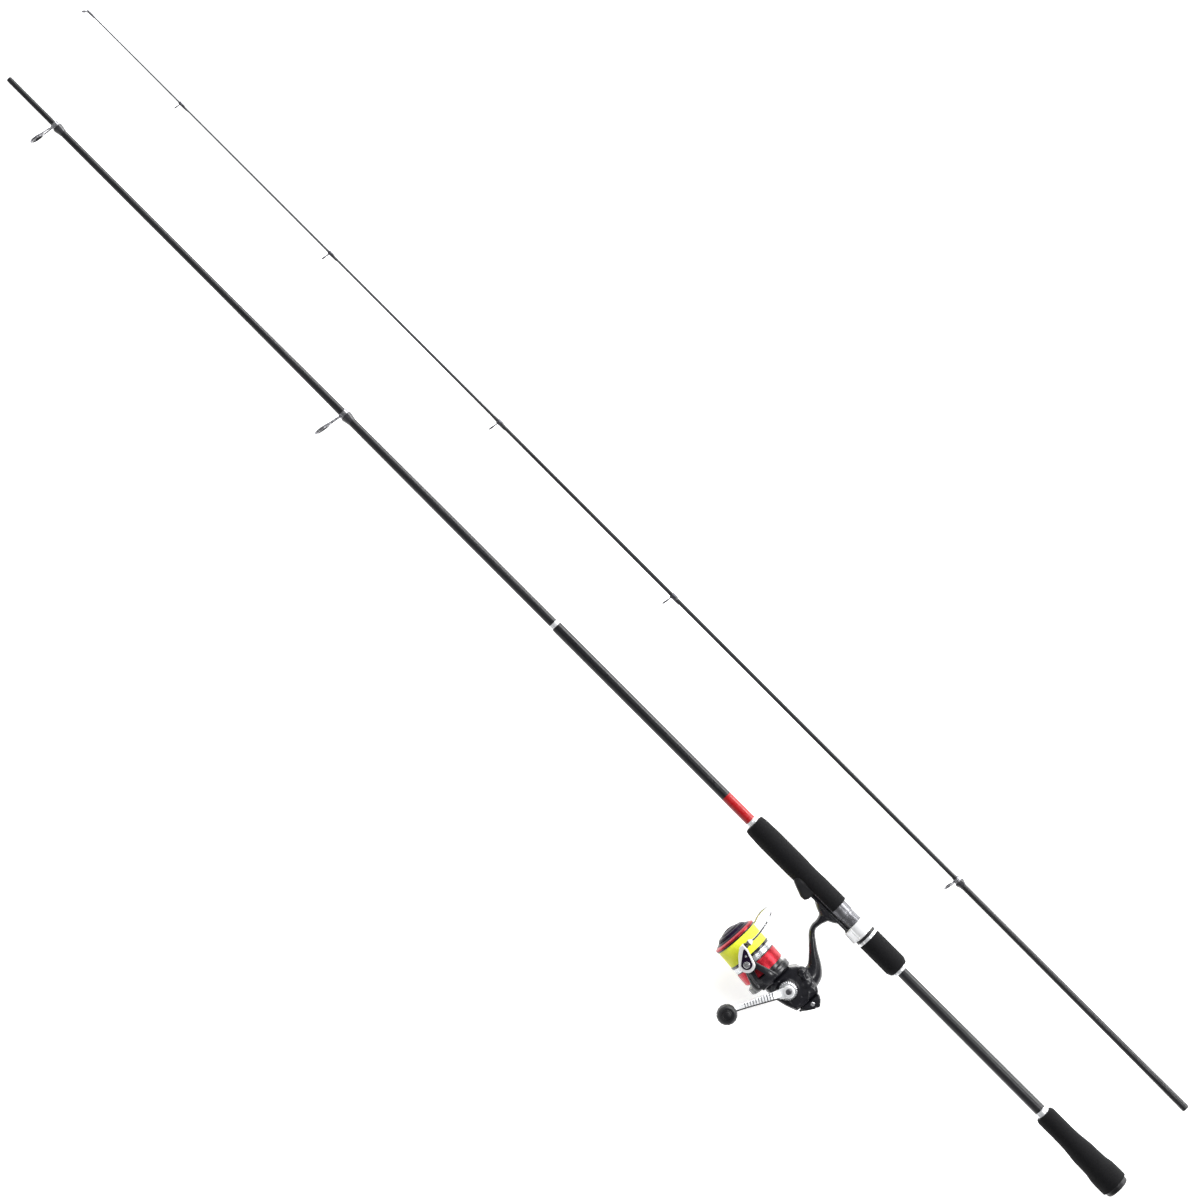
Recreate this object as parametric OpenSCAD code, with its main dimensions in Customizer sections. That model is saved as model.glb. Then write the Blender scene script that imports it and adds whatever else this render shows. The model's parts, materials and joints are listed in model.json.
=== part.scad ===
// Two-piece spinning rod with an open-face reel.
// The rod axis is X, with the butt cap at the origin. The reel hangs towards +Y.
// The crank side of the reel is up (+Z). The tip section lies beside the butt section.

/* [Rod] */
// Length of each rod section
section_l = 1400; // [1395:1:1402]
// Length of the male end that the tip section slides over
spigot_l = 57; // [56:1:58]
// Radius of the male end
spigot_r = 2.7; // [2.65:0.05:2.7]
// Radial clearance in the ferrule socket
ferrule_gap = 0.05; // [0.03:0.01:0.08]
// Wall of the carbon tubes
blank_wall = 0.9; // [0.8:0.1:1.1]
// Radius of the blank under the reel seat
seat_blank_r = 5.0; // [5:0.1:5]

/* [Tip section at rest] */
// Sideways distance from the butt section's axis
tip_offset = 93.2; // [90:0.2:100]
// Drop below the butt section's axis
tip_drop = 24.0; // [23:0.1:24]

/* [Grips and seat] */
// Radius of the fore grip
fore_grip_r = 11.0; // [10.8:0.1:11.2]
// Radius of the largest part of the butt grip
butt_grip_r = 13.4; // [13:0.1:14]
// Radius of the seat's plain barrel
seat_r = 9.0; // [9:0.1:9]
// Radius of the seat's threaded barrel
thread_r = 8.5; // [8.5:0.1:8.5]
// Height of the flat that the reel foot rests on
saddle_y = 7.6; // [7.5:0.1:7.7]

/* [Reel] */
// Station of the crank along the rod
reel_x = 335.8; // [335:0.1:337]
// Distance of the main shaft from the rod axis at the crank
reel_y = 87.8; // [87:0.1:89]
// Angle of the main shaft to the rod axis
reel_tilt = 4; // [3.5:0.1:4.5]
// Distance of the crank axis from the main shaft axis
hub_offset = 5; // [5:0.1:5.2]
// Rotation of the rotor at rest
rotor_phase = 15; // [12:1:17]
// Radius of the spool's front lip
lip_r = 21.3; // [21:0.1:21.3]
// Radius of the wound line
line_r = 20.6; // [15:0.1:20.6]
// Radius of the main shaft
shaft_r = 1.5; // [1.4:0.1:1.5]

/* [Handle] */
// Length of the crank arm
arm_l = 58; // [57:0.5:59]
// Angle of the crank arm at rest
arm_angle = 63.9; // [60:0.1:75]
// Radius of the crank knob
knob_r = 9.25; // [8:0.25:9.25]

/* [Hidden] */
// Running clearance of pins and shafts
fit = 0.06;
// Segments of round parts
$fn = 64;

// Outer radius of the butt blank at stations from the butt end
butt_profile = [[5.5, 3], [5.5, 99], [5.1, 275], [seat_blank_r, 275], [seat_blank_r, 464],
    [4.6, 464], [4.35, 709], [4.3, 830], [3.9, 960], [3.9, 985], [3.5, 1060], [3.25, 1134],
    [3.25, section_l - spigot_l], [spigot_r, section_l - spigot_l], [spigot_r, section_l]];
// Outer radius of the tip blank at stations from its mouth
tip_profile = [[3.65, 0], [3.4, 46], [3.2, 120], [2.85, 240], [2.85, 291], [2.15, 296],
    [2.1, 430], [1.95, 560], [1.95, 700], [1.75, 864], [1.75, 877], [1.5, 881], [1.25, 1010],
    [1.15, 1080], [1.15, 1093], [0.95, 1270], [0.95, 1283], [0.75, 1380], [0.75, 1394]];
socket_l = 60;

// Guides: station, blank radius, ring outer radius, ring centre from the rod axis
guide_1 = [977, 3.9, 8.9, 22.7];
guide_2 = [1341, 3.25, 7.2, 19.7];
guide_3 = [291, 2.85, 5.35, 9.0];
guide_4 = [652, 1.95, 3.7, 8.3];
guide_5 = [873, 1.75, 3.3, 8.2];
guide_6 = [1088, 1.15, 2.5, 6.9];
guide_7 = [1278, 0.95, 1.8, 5.6];
guide_lean = 10;
collar_l = 4;

// Stations of the handle parts along the rod
fore_grip_rear = 355;
seat_front = 402;
hood_front = 334;
hood_rear = 320.6;
nut_front = 320.4;
nut_sleeve_rear = 281;
foot_front = 395;
foot_rear = 321;
foot_half_w = 7.2;
foot_t = 3;

// Main shaft stations, measured from the crank axis
case_front = 14;
rim_front = 21.5;
pivot_x = 42;
skirt_rear = 24.8;
line_rear = 46.2;
line_front = 63.4;
knob_front = 75.1;
case_top = 13;
case_bottom = -11.2;
cover_t = 2;
arm_top_r = 26;

// Turned solid about the rod axis: outline points are radius and station
module turned(outline) {
    rotate([0, 90, 0]) rotate_extrude() polygon(outline);
}

module tube(r_out, r_in, x0, x1) {
    turned([[r_in, x0], [r_out, x0], [r_out, x1], [r_in, x1]]);
}

module disc_z(r, z0, z1) {
    translate([0, 0, z0]) cylinder(r = r, h = z1 - z0);
}

module ring_z(r_out, r_in, z0, z1) {
    difference() {
        disc_z(r_out, z0, z1);
        disc_z(r_in, z0 - 1, z1 + 1);
    }
}

module in_reel() {
    translate([reel_x, reel_y, 0]) rotate([0, 0, -reel_tilt]) children();
}

module in_hub() {
    in_reel() translate([0, -hub_offset, 0]) children();
}

module in_oscillator() {
    in_reel() translate([-9, -hub_offset - 5.2, 0]) children();
}

module in_rotor() {
    in_reel() rotate([-rotor_phase, 0, 0]) children();
}

module in_tip() {
    translate([2, -tip_offset, -tip_drop]) children();
}

// ---- butt section ----

module butt_blank() color([0.10, 0.10, 0.11]) {
    difference() {
        turned(concat([[0, 3]], butt_profile, [[0, section_l]]));
        turned(concat([[0, 2]], [for (p = butt_profile) [p[0] - blank_wall, min(p[1] - 1, 1390)]],
            [[0, 1390]]));
    }
}

module blank_sleeve() color([0.06, 0.06, 0.07]) {
    turned([[4.6 - 0.25 * 31 / 245, 495], [5.0, 495], [5.2, 707], [5.2, 709], [4.35, 709]]);
}

module red_band() color([0.75, 0.08, 0.10]) {
    turned([[4.6, 464], [5.15, 464], [5.15, 495], [4.6 - 0.25 * 31 / 245, 495]]);
}

module trim_rings() color([0.85, 0.85, 0.87]) {
    tube(5.6, seat_blank_r, 460, 464);
    turned([[4.35, 709], [5.0, 709], [4.8, 713], [4.35 - 0.05 * 4 / 121, 713]]);
    turned([[5.5, 94], [6.4, 94.6], [6.4, 98], [6.0, 99], [5.5, 99]]);
}

module butt_grip() color([0.08, 0.08, 0.08]) {
    r = butt_grip_r;
    turned([[5.5, 5], [r, 5], [r, 22], [11.6, 28], [11.4, 46], [10.2, 54], [9.6, 60],
        [9.5, 92], [8.5, 94], [5.5, 94]]);
}

module butt_cap() color([0.10, 0.10, 0.10]) {
    turned([[0, 0], [10.5, 0], [11.6, 1.2], [11.6, 5], [5.5, 5], [5.5, 3], [0, 3]]);
}

module reel_seat() color([0.22, 0.22, 0.24]) {
    difference() {
        turned([[seat_blank_r, 284], [thread_r, 284], [thread_r, 345], [seat_r, 345],
            [seat_r, seat_front], [seat_blank_r, seat_front]]);
        translate([283, saddle_y, -20]) cube([foot_front + 1 - 283, 20, 40]);
    }
}

module fore_grip() color([0.08, 0.08, 0.08]) {
    r = fore_grip_r;
    difference() {
        turned([[seat_blank_r, seat_front], [seat_blank_r, 460], [9.6, 460], [10.2, 457],
            [10.6, 448], [r, 441], [r, 400], [r - 0.4, 392], [r, 384], [r, fore_grip_rear],
            [seat_r, fore_grip_rear], [seat_r, 378], [10.2, 378], [10.2, 400.5],
            [seat_r, 400.5], [seat_r, seat_front]]);
        translate([fore_grip_rear - 1, 4, -9.5]) cube([45.5, 20, 19]);
    }
}

module fixed_hood() color([0.07, 0.07, 0.08]) {
    difference() {
        union() {
            tube(10.2, seat_r, 378, 400.5);
            translate([0, 0, -9.4]) linear_extrude(18.8)
                polygon([[378, 6], [399.5, 6], [399.5, 11], [394, 13], [384, 16.6],
                    [380.5, 16], [378, 12.5]]);
        }
        turned([[0, 370], [seat_r, 370], [seat_r, 410], [0, 410]]);
        translate([370, saddle_y, -foot_half_w - 0.2])
            cube([foot_front + 0.5 - 370, foot_t + 0.2, 2 * foot_half_w + 0.4]);
        translate([370, -20, -20]) cube([5, 26, 40]);
    }
}

module moving_hood() color([0.85, 0.86, 0.88]) {
    difference() {
        union() {
            turned([[thread_r, hood_rear], [11.0, hood_rear], [10.6, hood_front],
                [thread_r, hood_front]]);
            translate([hood_rear, 0, -9]) linear_extrude(18)
                polygon([[0, 6], [hood_front - hood_rear, 6], [hood_front - hood_rear, 12.4],
                    [2, 13.2], [0, 12.6]]);
        }
        turned([[0, 310], [thread_r + fit, 310], [thread_r + fit, 340], [0, 340]]);
        translate([hood_rear - 1, saddle_y - 0.3, -foot_half_w - 0.3])
            cube([20, foot_t + 0.6, 2 * foot_half_w + 0.6]);
    }
}

module lock_nut() color([0.05, 0.05, 0.05]) {
    r = thread_r + fit;
    turned([[r, nut_sleeve_rear], [9.4, nut_sleeve_rear], [9.4, 317.8], [10.4, 317.8],
        [10.4, nut_front], [r, nut_front]]);
}

module nut_grip() color([0.08, 0.08, 0.08]) {
    turned([[9.4, nut_sleeve_rear], [9.4, 315], [10.95, 315], [10.95, 280], [9.6, 277],
        [5.6, 277], [5.6, nut_sleeve_rear]]);
}

module nut_rings() color([0.85, 0.85, 0.87]) {
    tube(10.8, 9.4, 315, 317.8);
    turned([[5.6, 274], [7.6, 274], [8.4, 275], [8.4, 277], [5.6, 277]]);
}

// ---- guides ----

// Ring and leg, standing up along +Y at the given guide's collar
module guide_frame(g) {
    ring_r = g[2];
    wall = 0.14 * ring_r + 0.25;
    rise = g[3];
    difference() {
        union() {
            tube(g[1] + 0.55 + 0.1 * g[1], g[1], g[0] - collar_l / 2, g[0] + collar_l / 2);
            translate([g[0], 0, 0]) rotate([0, 0, -guide_lean]) {
                difference() {
                    translate([-0.5, 0, 0]) rotate([90, 0, 90]) linear_extrude(1)
                        polygon([[g[1] * 0.6, -0.35 * ring_r], [rise - 0.5 * ring_r, -0.82 * ring_r],
                            [rise, -0.5 * ring_r], [rise, 0.5 * ring_r],
                            [rise - 0.5 * ring_r, 0.82 * ring_r], [g[1] * 0.6, 0.35 * ring_r]]);
                    translate([-5, rise, 0]) rotate([0, 90, 0]) cylinder(r = ring_r - wall, h = 10);
                }
                translate([0, rise, 0]) tube(ring_r, ring_r - wall, -ring_w_of(g), ring_w_of(g));
            }
        }
        tube(g[1], 0, g[0] - 20, g[0] + 20);
    }
}

// Half width of a guide's ring along the rod
function ring_w_of(g) = 0.1 * g[2] + 0.3;

// Ceramic lining of a guide
module guide_ring(g) {
    outer = g[2] - 0.14 * g[2] - 0.25;
    w = ring_w_of(g) * 1.15;
    translate([g[0], 0, 0]) rotate([0, 0, -guide_lean]) translate([0, g[3], 0])
        tube(outer, outer - 0.1 * g[2] - 0.15, -w, w);
}

// Thread wrap behind a guide's collar
module guide_wrap(g, length) {
    x1 = g[0] - collar_l / 2;
    r = g[1];
    turned([[r, x1 - length], [r + 0.3, x1 - length], [r + 1.5, x1 - 2], [r + 1.5, x1], [r, x1]]);
}

module guide_1_frame() color([0.35, 0.36, 0.38]) guide_frame(guide_1);
module guide_1_ring() color([0.12, 0.12, 0.14]) guide_ring(guide_1);
module guide_2_frame() color([0.35, 0.36, 0.38]) guide_frame(guide_2);
module guide_2_ring() color([0.12, 0.12, 0.14]) guide_ring(guide_2);

module butt_wraps() color([0.04, 0.04, 0.05]) {
    guide_wrap(guide_1, 8);
    guide_wrap(guide_2, 8);
}

// ---- reel body ----

// Outline of the gear case, seen from the crank side
module case_outline() {
    polygon([[case_front, 9.8], [1, 9.2], [-10, 5.6], [-19.5, 2.6], [-25, -6], [-30.8, -15.6],
        [-30.6, -17.2], [-26.5, -21.5], [-15, -27], [-2, -28.5], [9, -26], [case_front, -19]]);
}

module case_cavity() {
    polygon([[12.2, 7.8], [1.5, 7.2], [-10, 3.6], [-17.6, 2.2], [-22.4, -6.5], [-22.4, -18],
        [-13, -21.5], [8, -21.5], [12.2, -16]]);
}

module at_cover_screws() {
    for (p = [[7.6, 5.8], [9.4, -17.4], [-19.4, -15.6]]) translate([p[0], p[1], 0]) children();
}

module body_half(front_part) {
    intersection() {
        case_outline();
        translate([front_part ? -20.5 : -60.5, -60]) square([front_part ? 60 : 40, 120]);
    }
}

module stem_outline() {
    polygon([[-15, -27], [-14.2, -32.6], [-8.2, -38.1], [3.7, -45.5], [15.4, -52.9],
        [21.5, -57.2], [23.3, -61], [23.8, -70], [29.6, -70], [28.6, -61.2], [25.9, -55.2],
        [18.1, -46.6], [8.3, -37.9], [5.8, -33], [9, -26], [0, -22], [-10, -24]]);
}

module reel_body() color([0.08, 0.08, 0.09]) {
    difference() {
        union() {
            in_reel() {
                translate([0, 0, case_bottom]) linear_extrude(case_top - case_bottom)
                    body_half(true);
                translate([0, 0, -5]) linear_extrude(10) stem_outline();
                tube(10.2, 2, 11, 16.2);
            }
            in_hub() disc_z(8.6, 12, 16);
            // foot: a plate on the seat with a pedestal under the stem
            translate([0, 0, -foot_half_w]) linear_extrude(2 * foot_half_w)
                polygon([[foot_rear, saddle_y], [foot_front, saddle_y],
                    [foot_front, saddle_y + foot_t - 0.8], [380, saddle_y + foot_t],
                    [376, saddle_y + foot_t], [366, 14.2], [350, 14.2], [342, saddle_y + foot_t],
                    [foot_rear, saddle_y + foot_t - 0.8]]);
            translate([0, 0, -5]) linear_extrude(10)
                polygon([[350, 13], [366, 13], [361.5, 18], [360.4, 24], [354, 24], [353, 18]]);
        }
        in_reel() {
            difference() {
                translate([0, 0, case_bottom - 1]) linear_extrude(12.2 - case_bottom)
                    case_cavity();
                at_cover_screws() disc_z(1.9, case_bottom - 2, 20);
                tube(10.2, 0, 11, 16.2);
            }
            tube(8.0, 0, 10.9, 15.4);
            tube(4.6, 0, 10, 17);
            at_cover_screws() disc_z(0.9, case_bottom - 1, case_bottom + 8);
            translate([3.4, -24.6, 0]) disc_z(1.2 + fit, 4, 20);
        }
        in_hub() {
            disc_z(6, 11, 15.4);
            disc_z(4, 10, 17);
        }
    }
}

module side_cover() color([0.09, 0.09, 0.10]) {
    z0 = case_bottom - cover_t;
    difference() {
        union() {
            in_reel() translate([0, 0, z0]) linear_extrude(cover_t) body_half(true);
            in_hub() disc_z(8.6, -16, z0);
            in_oscillator() disc_z(1.5, z0 + 1, -9);
        }
        in_hub() {
            disc_z(6, -15.4, -11);
            disc_z(4, -17, -11);
        }
        in_reel() at_cover_screws() disc_z(0.9, -20, -10);
    }
}

module rear_guard() color([0.06, 0.06, 0.07]) {
    z0 = case_bottom - cover_t;
    in_reel() difference() {
        translate([0, 0, z0]) linear_extrude(case_top - z0) body_half(false);
        translate([-24.3, -13.4, 4]) cylinder(r = 0.9, h = 12);
    }
}

module screw(head_r, shank_l) {
    disc_z(0.9, -shank_l, 0);
    difference() {
        disc_z(head_r, 0, 0.9);
        translate([-head_r, -0.25, 0.5]) cube([2 * head_r, 0.5, 1]);
    }
}

module cover_screws() color([0.80, 0.80, 0.82]) {
    in_reel() {
        at_cover_screws() translate([0, 0, case_bottom - cover_t]) mirror([0, 0, 1]) screw(1.7, 9);
        translate([-24.3, -13.4, case_top]) screw(1.9, 8);
    }
}

module shaft_bearings() color([0.75, 0.76, 0.78]) {
    in_hub() {
        ring_z(6, 2.5 + fit, 11.4, 15.4);
        ring_z(6, 2.5 + fit, -15.4, -11.4);
    }
}

module rotor_bearing() color([0.75, 0.76, 0.78]) {
    in_reel() tube(8.0, 3.5 + fit, 10.9, 15.4);
}

module one_way_clutch() color([0.70, 0.66, 0.50]) {
    in_reel() tube(9.4, 3.5 + fit, 16.2, 22);
}

module anti_reverse_lever() color([0.12, 0.12, 0.13]) {
    in_reel() translate([3.4, -24.6, 0]) {
        disc_z(1.2, 4.5, case_top + 0.2);
        disc_z(3.4, case_top + 0.2, case_top + 2.6);
        rotate([0, 0, 160]) translate([0, -1.5, case_top + 0.2]) cube([7, 3, 1.9]);
    }
}

// ---- crank and gears ----

module gear_teeth(r_root, r_tip, count, z0, z1) {
    pitch = 360 / count;
    corners = [[r_root, -0.34], [r_tip, -0.16], [r_tip, 0.16], [r_root, 0.34]];
    translate([0, 0, z0]) linear_extrude(z1 - z0)
        polygon([for (i = [0 : count - 1]) for (c = corners)
            [c[0] * cos((i + c[1]) * pitch), c[0] * sin((i + c[1]) * pitch)]]);
}

module drive_shaft() color([0.72, 0.73, 0.75]) {
    in_hub() {
        disc_z(2.5, -19.4, 29.6);
        gear_teeth(2.65, 3.1, 12, -10.6, -8.4);
    }
}

module drive_gear() color([0.80, 0.66, 0.32]) {
    in_hub() {
        difference() {
            union() {
                disc_z(10.6, 5.6, 7.6);
                disc_z(4.6, 7.6, 10.6);
            }
            disc_z(2.5, 5, 11);
        }
        for (i = [0 : 51]) rotate([0, 0, i * 360 / 52])
            translate([7.4, -0.22, 4.2]) cube([3.2, 0.44, 1.5]);
    }
}

module handle_collar() color([0.82, 0.83, 0.85]) {
    in_hub() rotate([0, 0, arm_angle]) difference() {
        union() {
            disc_z(7.8, 16.3, 23);
            for (i = [0 : 23]) rotate([0, 0, i * 15])
                translate([7.7, 0, 17]) cylinder(r = 0.7, h = 5.2);
        }
        disc_z(2.5, 16, 24);
    }
}

module handle_cap() color([0.80, 0.81, 0.83]) {
    in_hub() difference() {
        disc_z(6.4, -20.6, -16.3);
        disc_z(2.5, -19.4, -16);
    }
}

// Side profile of the crank arm: distance from the crank axis and height
module arm_side() {
    polygon([[0, 25.5], [0, 30.8], [8, 31.4], [arm_l - 6, 48.8], [arm_l + 5.5, 48.8],
        [arm_l + 5.5, 46], [arm_l - 5.6, 46], [9, 27.2]]);
}

module arm_plan() {
    polygon([[0, -4.6], [9, -4.0], [arm_l - 16, -2.6], [arm_l, -4.4], [arm_l, 4.4],
        [arm_l - 16, 2.6], [9, 4.0], [0, 4.6]]);
    translate([arm_l, 0]) circle(r = 5.4);
}

module handle_arm() color([0.86, 0.87, 0.89]) {
    in_hub() rotate([0, 0, arm_angle]) difference() {
        union() {
            intersection() {
                rotate([90, 0, 0]) translate([0, 0, -10]) linear_extrude(20) arm_side();
                translate([0, 0, 20]) linear_extrude(40) arm_plan();
            }
            disc_z(5.6, 23.2, 31.4);
            translate([arm_l, 0, 0]) disc_z(1.9, 48, 76);
        }
        disc_z(2.5, 20, 29.6);
    }
}

module handle_knob() color([0.10, 0.10, 0.10]) {
    r = knob_r;
    in_hub() rotate([0, 0, arm_angle]) translate([arm_l, 0, 0]) rotate_extrude()
        polygon([[1.9 + fit, 49.2], [6.4, 49.2], [6.6, 50.5], [5.6, 56], [6.6, 62], [r, 69],
            [r, 72], [8.2, 76], [6.4, 77.6], [4.8, 77.6], [4.8, 76.3], [1.9 + fit, 76.3]]);
}

module knob_cap() color([0.30, 0.30, 0.32]) {
    in_hub() rotate([0, 0, arm_angle]) translate([arm_l, 0, 0]) rotate_extrude()
        polygon([[0, 76.3], [4.8, 76.3], [4.8, 77.7], [3.4, 78.4], [0, 78.6]]);
}

// Turns on a post of the side cover, and its pin drives the crosshead
module oscillation_gear() color([0.85, 0.84, 0.80]) {
    in_oscillator() difference() {
        union() {
            gear_teeth(5.9, 6.8, 24, -10.4, -8.6);
            translate([-4, 0, 0]) disc_z(1.2, -8.8, -6.9);
        }
        disc_z(1.5 + fit, -11, -8.9);
    }
}

module main_shaft() color([0.78, 0.79, 0.81]) {
    in_reel() tube(shaft_r, 0, -14.6, 73);
}

module crosshead() color([0.72, 0.70, 0.66]) {
    in_reel() difference() {
        union() {
            translate([-15, -15.4, -6.4]) cube([4, 16.8, 3.4]);
            translate([-15, -2.3, -3.2]) cube([4, 4.2, 5.6]);
        }
        tube(shaft_r, 0, -14.6, 0);
        translate([-14.3, -14.8, -7]) cube([2.6, 9, 2.4]);
    }
}

// ---- rotor and bail ----

module pinion_gear() color([0.80, 0.66, 0.32]) {
    in_reel() rotate([0, 90, 0]) difference() {
        union() {
            gear_teeth(2.9, 3.7, 10, 4.6, 10.5);
            disc_z(3.5, 10.2, 30);
        }
        disc_z(shaft_r + fit, 4, 31);
    }
}

// Plan of one rotor arm, seen along the pivot axis
module rotor_arm_plan() {
    difference() {
        union() {
            polygon([[15.9, -13], [15.9, 13], [24, 12], [pivot_x, 6.2], [pivot_x, -6.2],
                [24, -12]]);
            translate([pivot_x, 0]) circle(r = 6.4);
        }
        polygon([[24.5, -6.5], [24.5, 1.5], [33.5, -0.5], [33.5, -3.5]]);
        translate([pivot_x, 0]) circle(r = 2);
    }
}

module rotor() color([0.08, 0.08, 0.09]) {
    in_rotor() {
        turned([[20.2, 14.8], [22, 15.8], [22, rim_front - 0.8], [21.2, rim_front],
            [18.4, rim_front], [18.4, pivot_x], [16.6, pivot_x], [16.6, 25.8], [3.5, 25.8],
            [3.5, 22.8], [17.2, 22.8], [17.2, 19.6], [19.2, 19.6], [19.2, 14.8]]);
        for (turn = [0, 180]) rotate([turn, 0, 0]) {
            intersection() {
                linear_extrude(40) rotor_arm_plan();
                tube(25.4, 21.7, 10, 60);
            }
            translate([pivot_x, 0, 0]) ring_z(6.6, 2, 23.5, arm_top_r);
        }
    }
}

module rotor_nut() color([0.80, 0.66, 0.32]) {
    in_reel() rotate([0, 90, 0]) difference() {
        translate([0, 0, 25.8]) cylinder(r = 6, h = 3.2, $fn = 6);
        disc_z(3.5, 25, 30);
    }
}

module bail_screws() color([0.80, 0.81, 0.83]) {
    in_rotor() for (turn = [0, 180]) rotate([turn, 0, 0]) translate([pivot_x, 0, 0]) {
        disc_z(2, 22, 28.7);
        difference() {
            disc_z(3.2, 28.7, 29.6);
            translate([-3.2, -0.3, 29.1]) cube([6.4, 0.6, 1]);
        }
    }
}

// Place of the line roller's axis in the rotor's frame; the axis runs along Y
roller_x = 55.4;
roller_z = 24.9;

module bail_arm() color([0.86, 0.87, 0.89]) {
    in_rotor() {
        difference() {
            translate([0, 0, 26.2]) linear_extrude(2.2) {
                translate([pivot_x, 0]) circle(r = 7.4);
                polygon([[pivot_x + 3, 6.7], [pivot_x - 4.6, -5.7], [roller_x - 3, -9.4],
                    [roller_x + 2.6, -9.4], [roller_x + 2.6, -5.2]]);
            }
            translate([pivot_x, 0, 0]) disc_z(2 + fit, 20, 40);
        }
        translate([roller_x, 0, roller_z]) rotate([90, 0, 0]) {
            disc_z(3, 6.4, 9.4);
            disc_z(1.2, 9.4, 14.6);
            translate([0, 0, 14.6]) cylinder(r1 = 2.7, r2 = 1.2, h = 2.9);
        }
    }
}

module line_roller() color([0.90, 0.80, 0.45]) {
    in_rotor() translate([roller_x, 0, roller_z]) rotate([90, 0, 0]) rotate_extrude()
        polygon([[1.2 + fit, 9.6], [2.8, 9.6], [2.8, 10.3], [2.1, 11.6], [2.1, 12.4],
            [2.8, 13.7], [2.8, 14.4], [1.2 + fit, 14.4]]);
}

module bail_lever() color([0.10, 0.10, 0.11]) {
    in_rotor() {
        difference() {
            translate([0, 0, -28.2]) linear_extrude(2) {
                translate([pivot_x, 0]) circle(r = 6.2);
                polygon([[pivot_x + 2.4, 5.6], [pivot_x - 3.2, -5.2], [58.6, -12.4],
                    [63.2, -12.4], [63.2, -8]]);
            }
            translate([pivot_x, 0, 0]) disc_z(2 + fit, -40, -20);
        }
        translate([61, 0, -25.6]) rotate([90, 0, 0]) disc_z(2, 8.6, 12.4);
    }
}

// Points along the bail wire, in the rotor's frame with the bail closed
wire_r = 1;
wire_points = [[55.4, -17.5, 24.9], [55.4, -20, 24.9], [56, -25.5, 24.8], [57.4, -31.5, 23.8],
    [59, -37.5, 20.5], [60.8, -41.2, 14], [62.4, -42.6, 6], [63.6, -42.6, -2],
    [64.6, -40.8, -10.5], [65.2, -36.3, -18.5], [65.1, -29.5, -23.4], [63.6, -21.5, -25.3],
    [61, -15.2, -25.6], [61, -12.4, -25.6]];
wire_steps = 3;

function spline(p0, p1, p2, p3, t) = 0.5 * (2 * p1 + (p2 - p0) * t
    + (2 * p0 - 5 * p1 + 4 * p2 - p3) * t * t + (3 * p1 - p0 - 3 * p2 + p3) * t * t * t);
function wire_at(i, t) = let (n = len(wire_points) - 1)
    spline(wire_points[max(i - 1, 0)], wire_points[i], wire_points[min(i + 1, n)],
        wire_points[min(i + 2, n)], t);
function unit(v) = v / norm(v);

module swept_wire(path, r, sides) {
    n = len(path);
    dirs = [for (i = [0 : n - 1]) unit(path[min(i + 1, n - 1)] - path[max(i - 1, 0)])];
    rings = [for (i = [0 : n - 1])
        let (u = unit(cross(dirs[i], [1, 0, 0.12])), v = cross(dirs[i], u))
        for (k = [0 : sides - 1]) path[i] + r * (cos(360 * k / sides) * u + sin(360 * k / sides) * v)];
    sides_of = [for (i = [0 : n - 2], k = [0 : sides - 1])
        let (a = i * sides + k, b = i * sides + (k + 1) % sides) [a, b, b + sides, a + sides]];
    first = [for (k = [sides - 1 : -1 : 0]) k];
    last = [for (k = [0 : sides - 1]) (n - 1) * sides + k];
    polyhedron(points = rings, faces = concat(sides_of, [first, last]));
}

module bail_wire() color([0.86, 0.87, 0.89]) {
    n = len(wire_points) - 1;
    path = concat([for (i = [0 : n - 1], k = [0 : wire_steps - 1]) wire_at(i, k / wire_steps)],
        [wire_points[n]]);
    in_rotor() swept_wire(path, wire_r, 10);
}

// ---- spool ----

module spool() color([0.07, 0.07, 0.08]) {
    in_reel() turned([[20.1, skirt_rear], [20.1, 44.4], [20.9, 44.4], [20.9, line_rear],
        [14, line_rear], [14, line_front], [12.4, line_front], [12.4, 56.8],
        [shaft_r + fit, 56.8], [shaft_r + fit, 46.6], [4, 44.4], [4, 54.8], [12.4, 54.8],
        [12.4, 44.4], [19.2, 44.4], [19.2, skirt_rear]]);
}

module spool_lip() color([0.62, 0.12, 0.10]) {
    in_reel() turned([[12.4, line_front], [lip_r, line_front], [lip_r, 66.2], [15.2, 69.3],
        [15.2, 66], [12.4, 66]]);
}

module skirt_band() color([0.75, 0.75, 0.77]) {
    in_reel() tube(20.8, 20.1, 38.6, 43.6);
}

module skirt_ring() color([0.85, 0.10, 0.14]) {
    in_reel() tube(20.9, 20.1, 25.4, 37.6);
}

module line_winding() color([0.92, 0.95, 0.20]) {
    in_reel() turned([[14, line_rear], [line_r, line_rear], [line_r, line_front],
        [14, line_front]]);
}

module drag_washers() color([0.55, 0.55, 0.50]) {
    in_reel() for (i = [0 : 3]) tube(11.8, 2.4, 57 + 1.6 * i, 58.2 + 1.6 * i);
}

module drag_knob() color([0.05, 0.05, 0.05]) {
    in_reel() turned([[shaft_r + fit, 65], [11.6, 65], [11.6, 66.6], [14.8, 66.6],
        [14.8, 70.2], [13.2, 72], [9.5, 73.9], [5, 74.9], [0, knob_front],
        [0, 73.2], [shaft_r + fit, 73.2]]);
}

// ---- tip section ----

module tip_blank() color([0.12, 0.12, 0.13]) {
    in_tip() difference() {
        turned(concat([[0, 0]], tip_profile, [[0, 1394]]));
        tube(spigot_r + ferrule_gap, 0, -1, socket_l);
        turned([[0, socket_l - 1], [2.3, socket_l - 1], [1.9, 240], [1.2, 288], [0, 288]]);
    }
}

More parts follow.
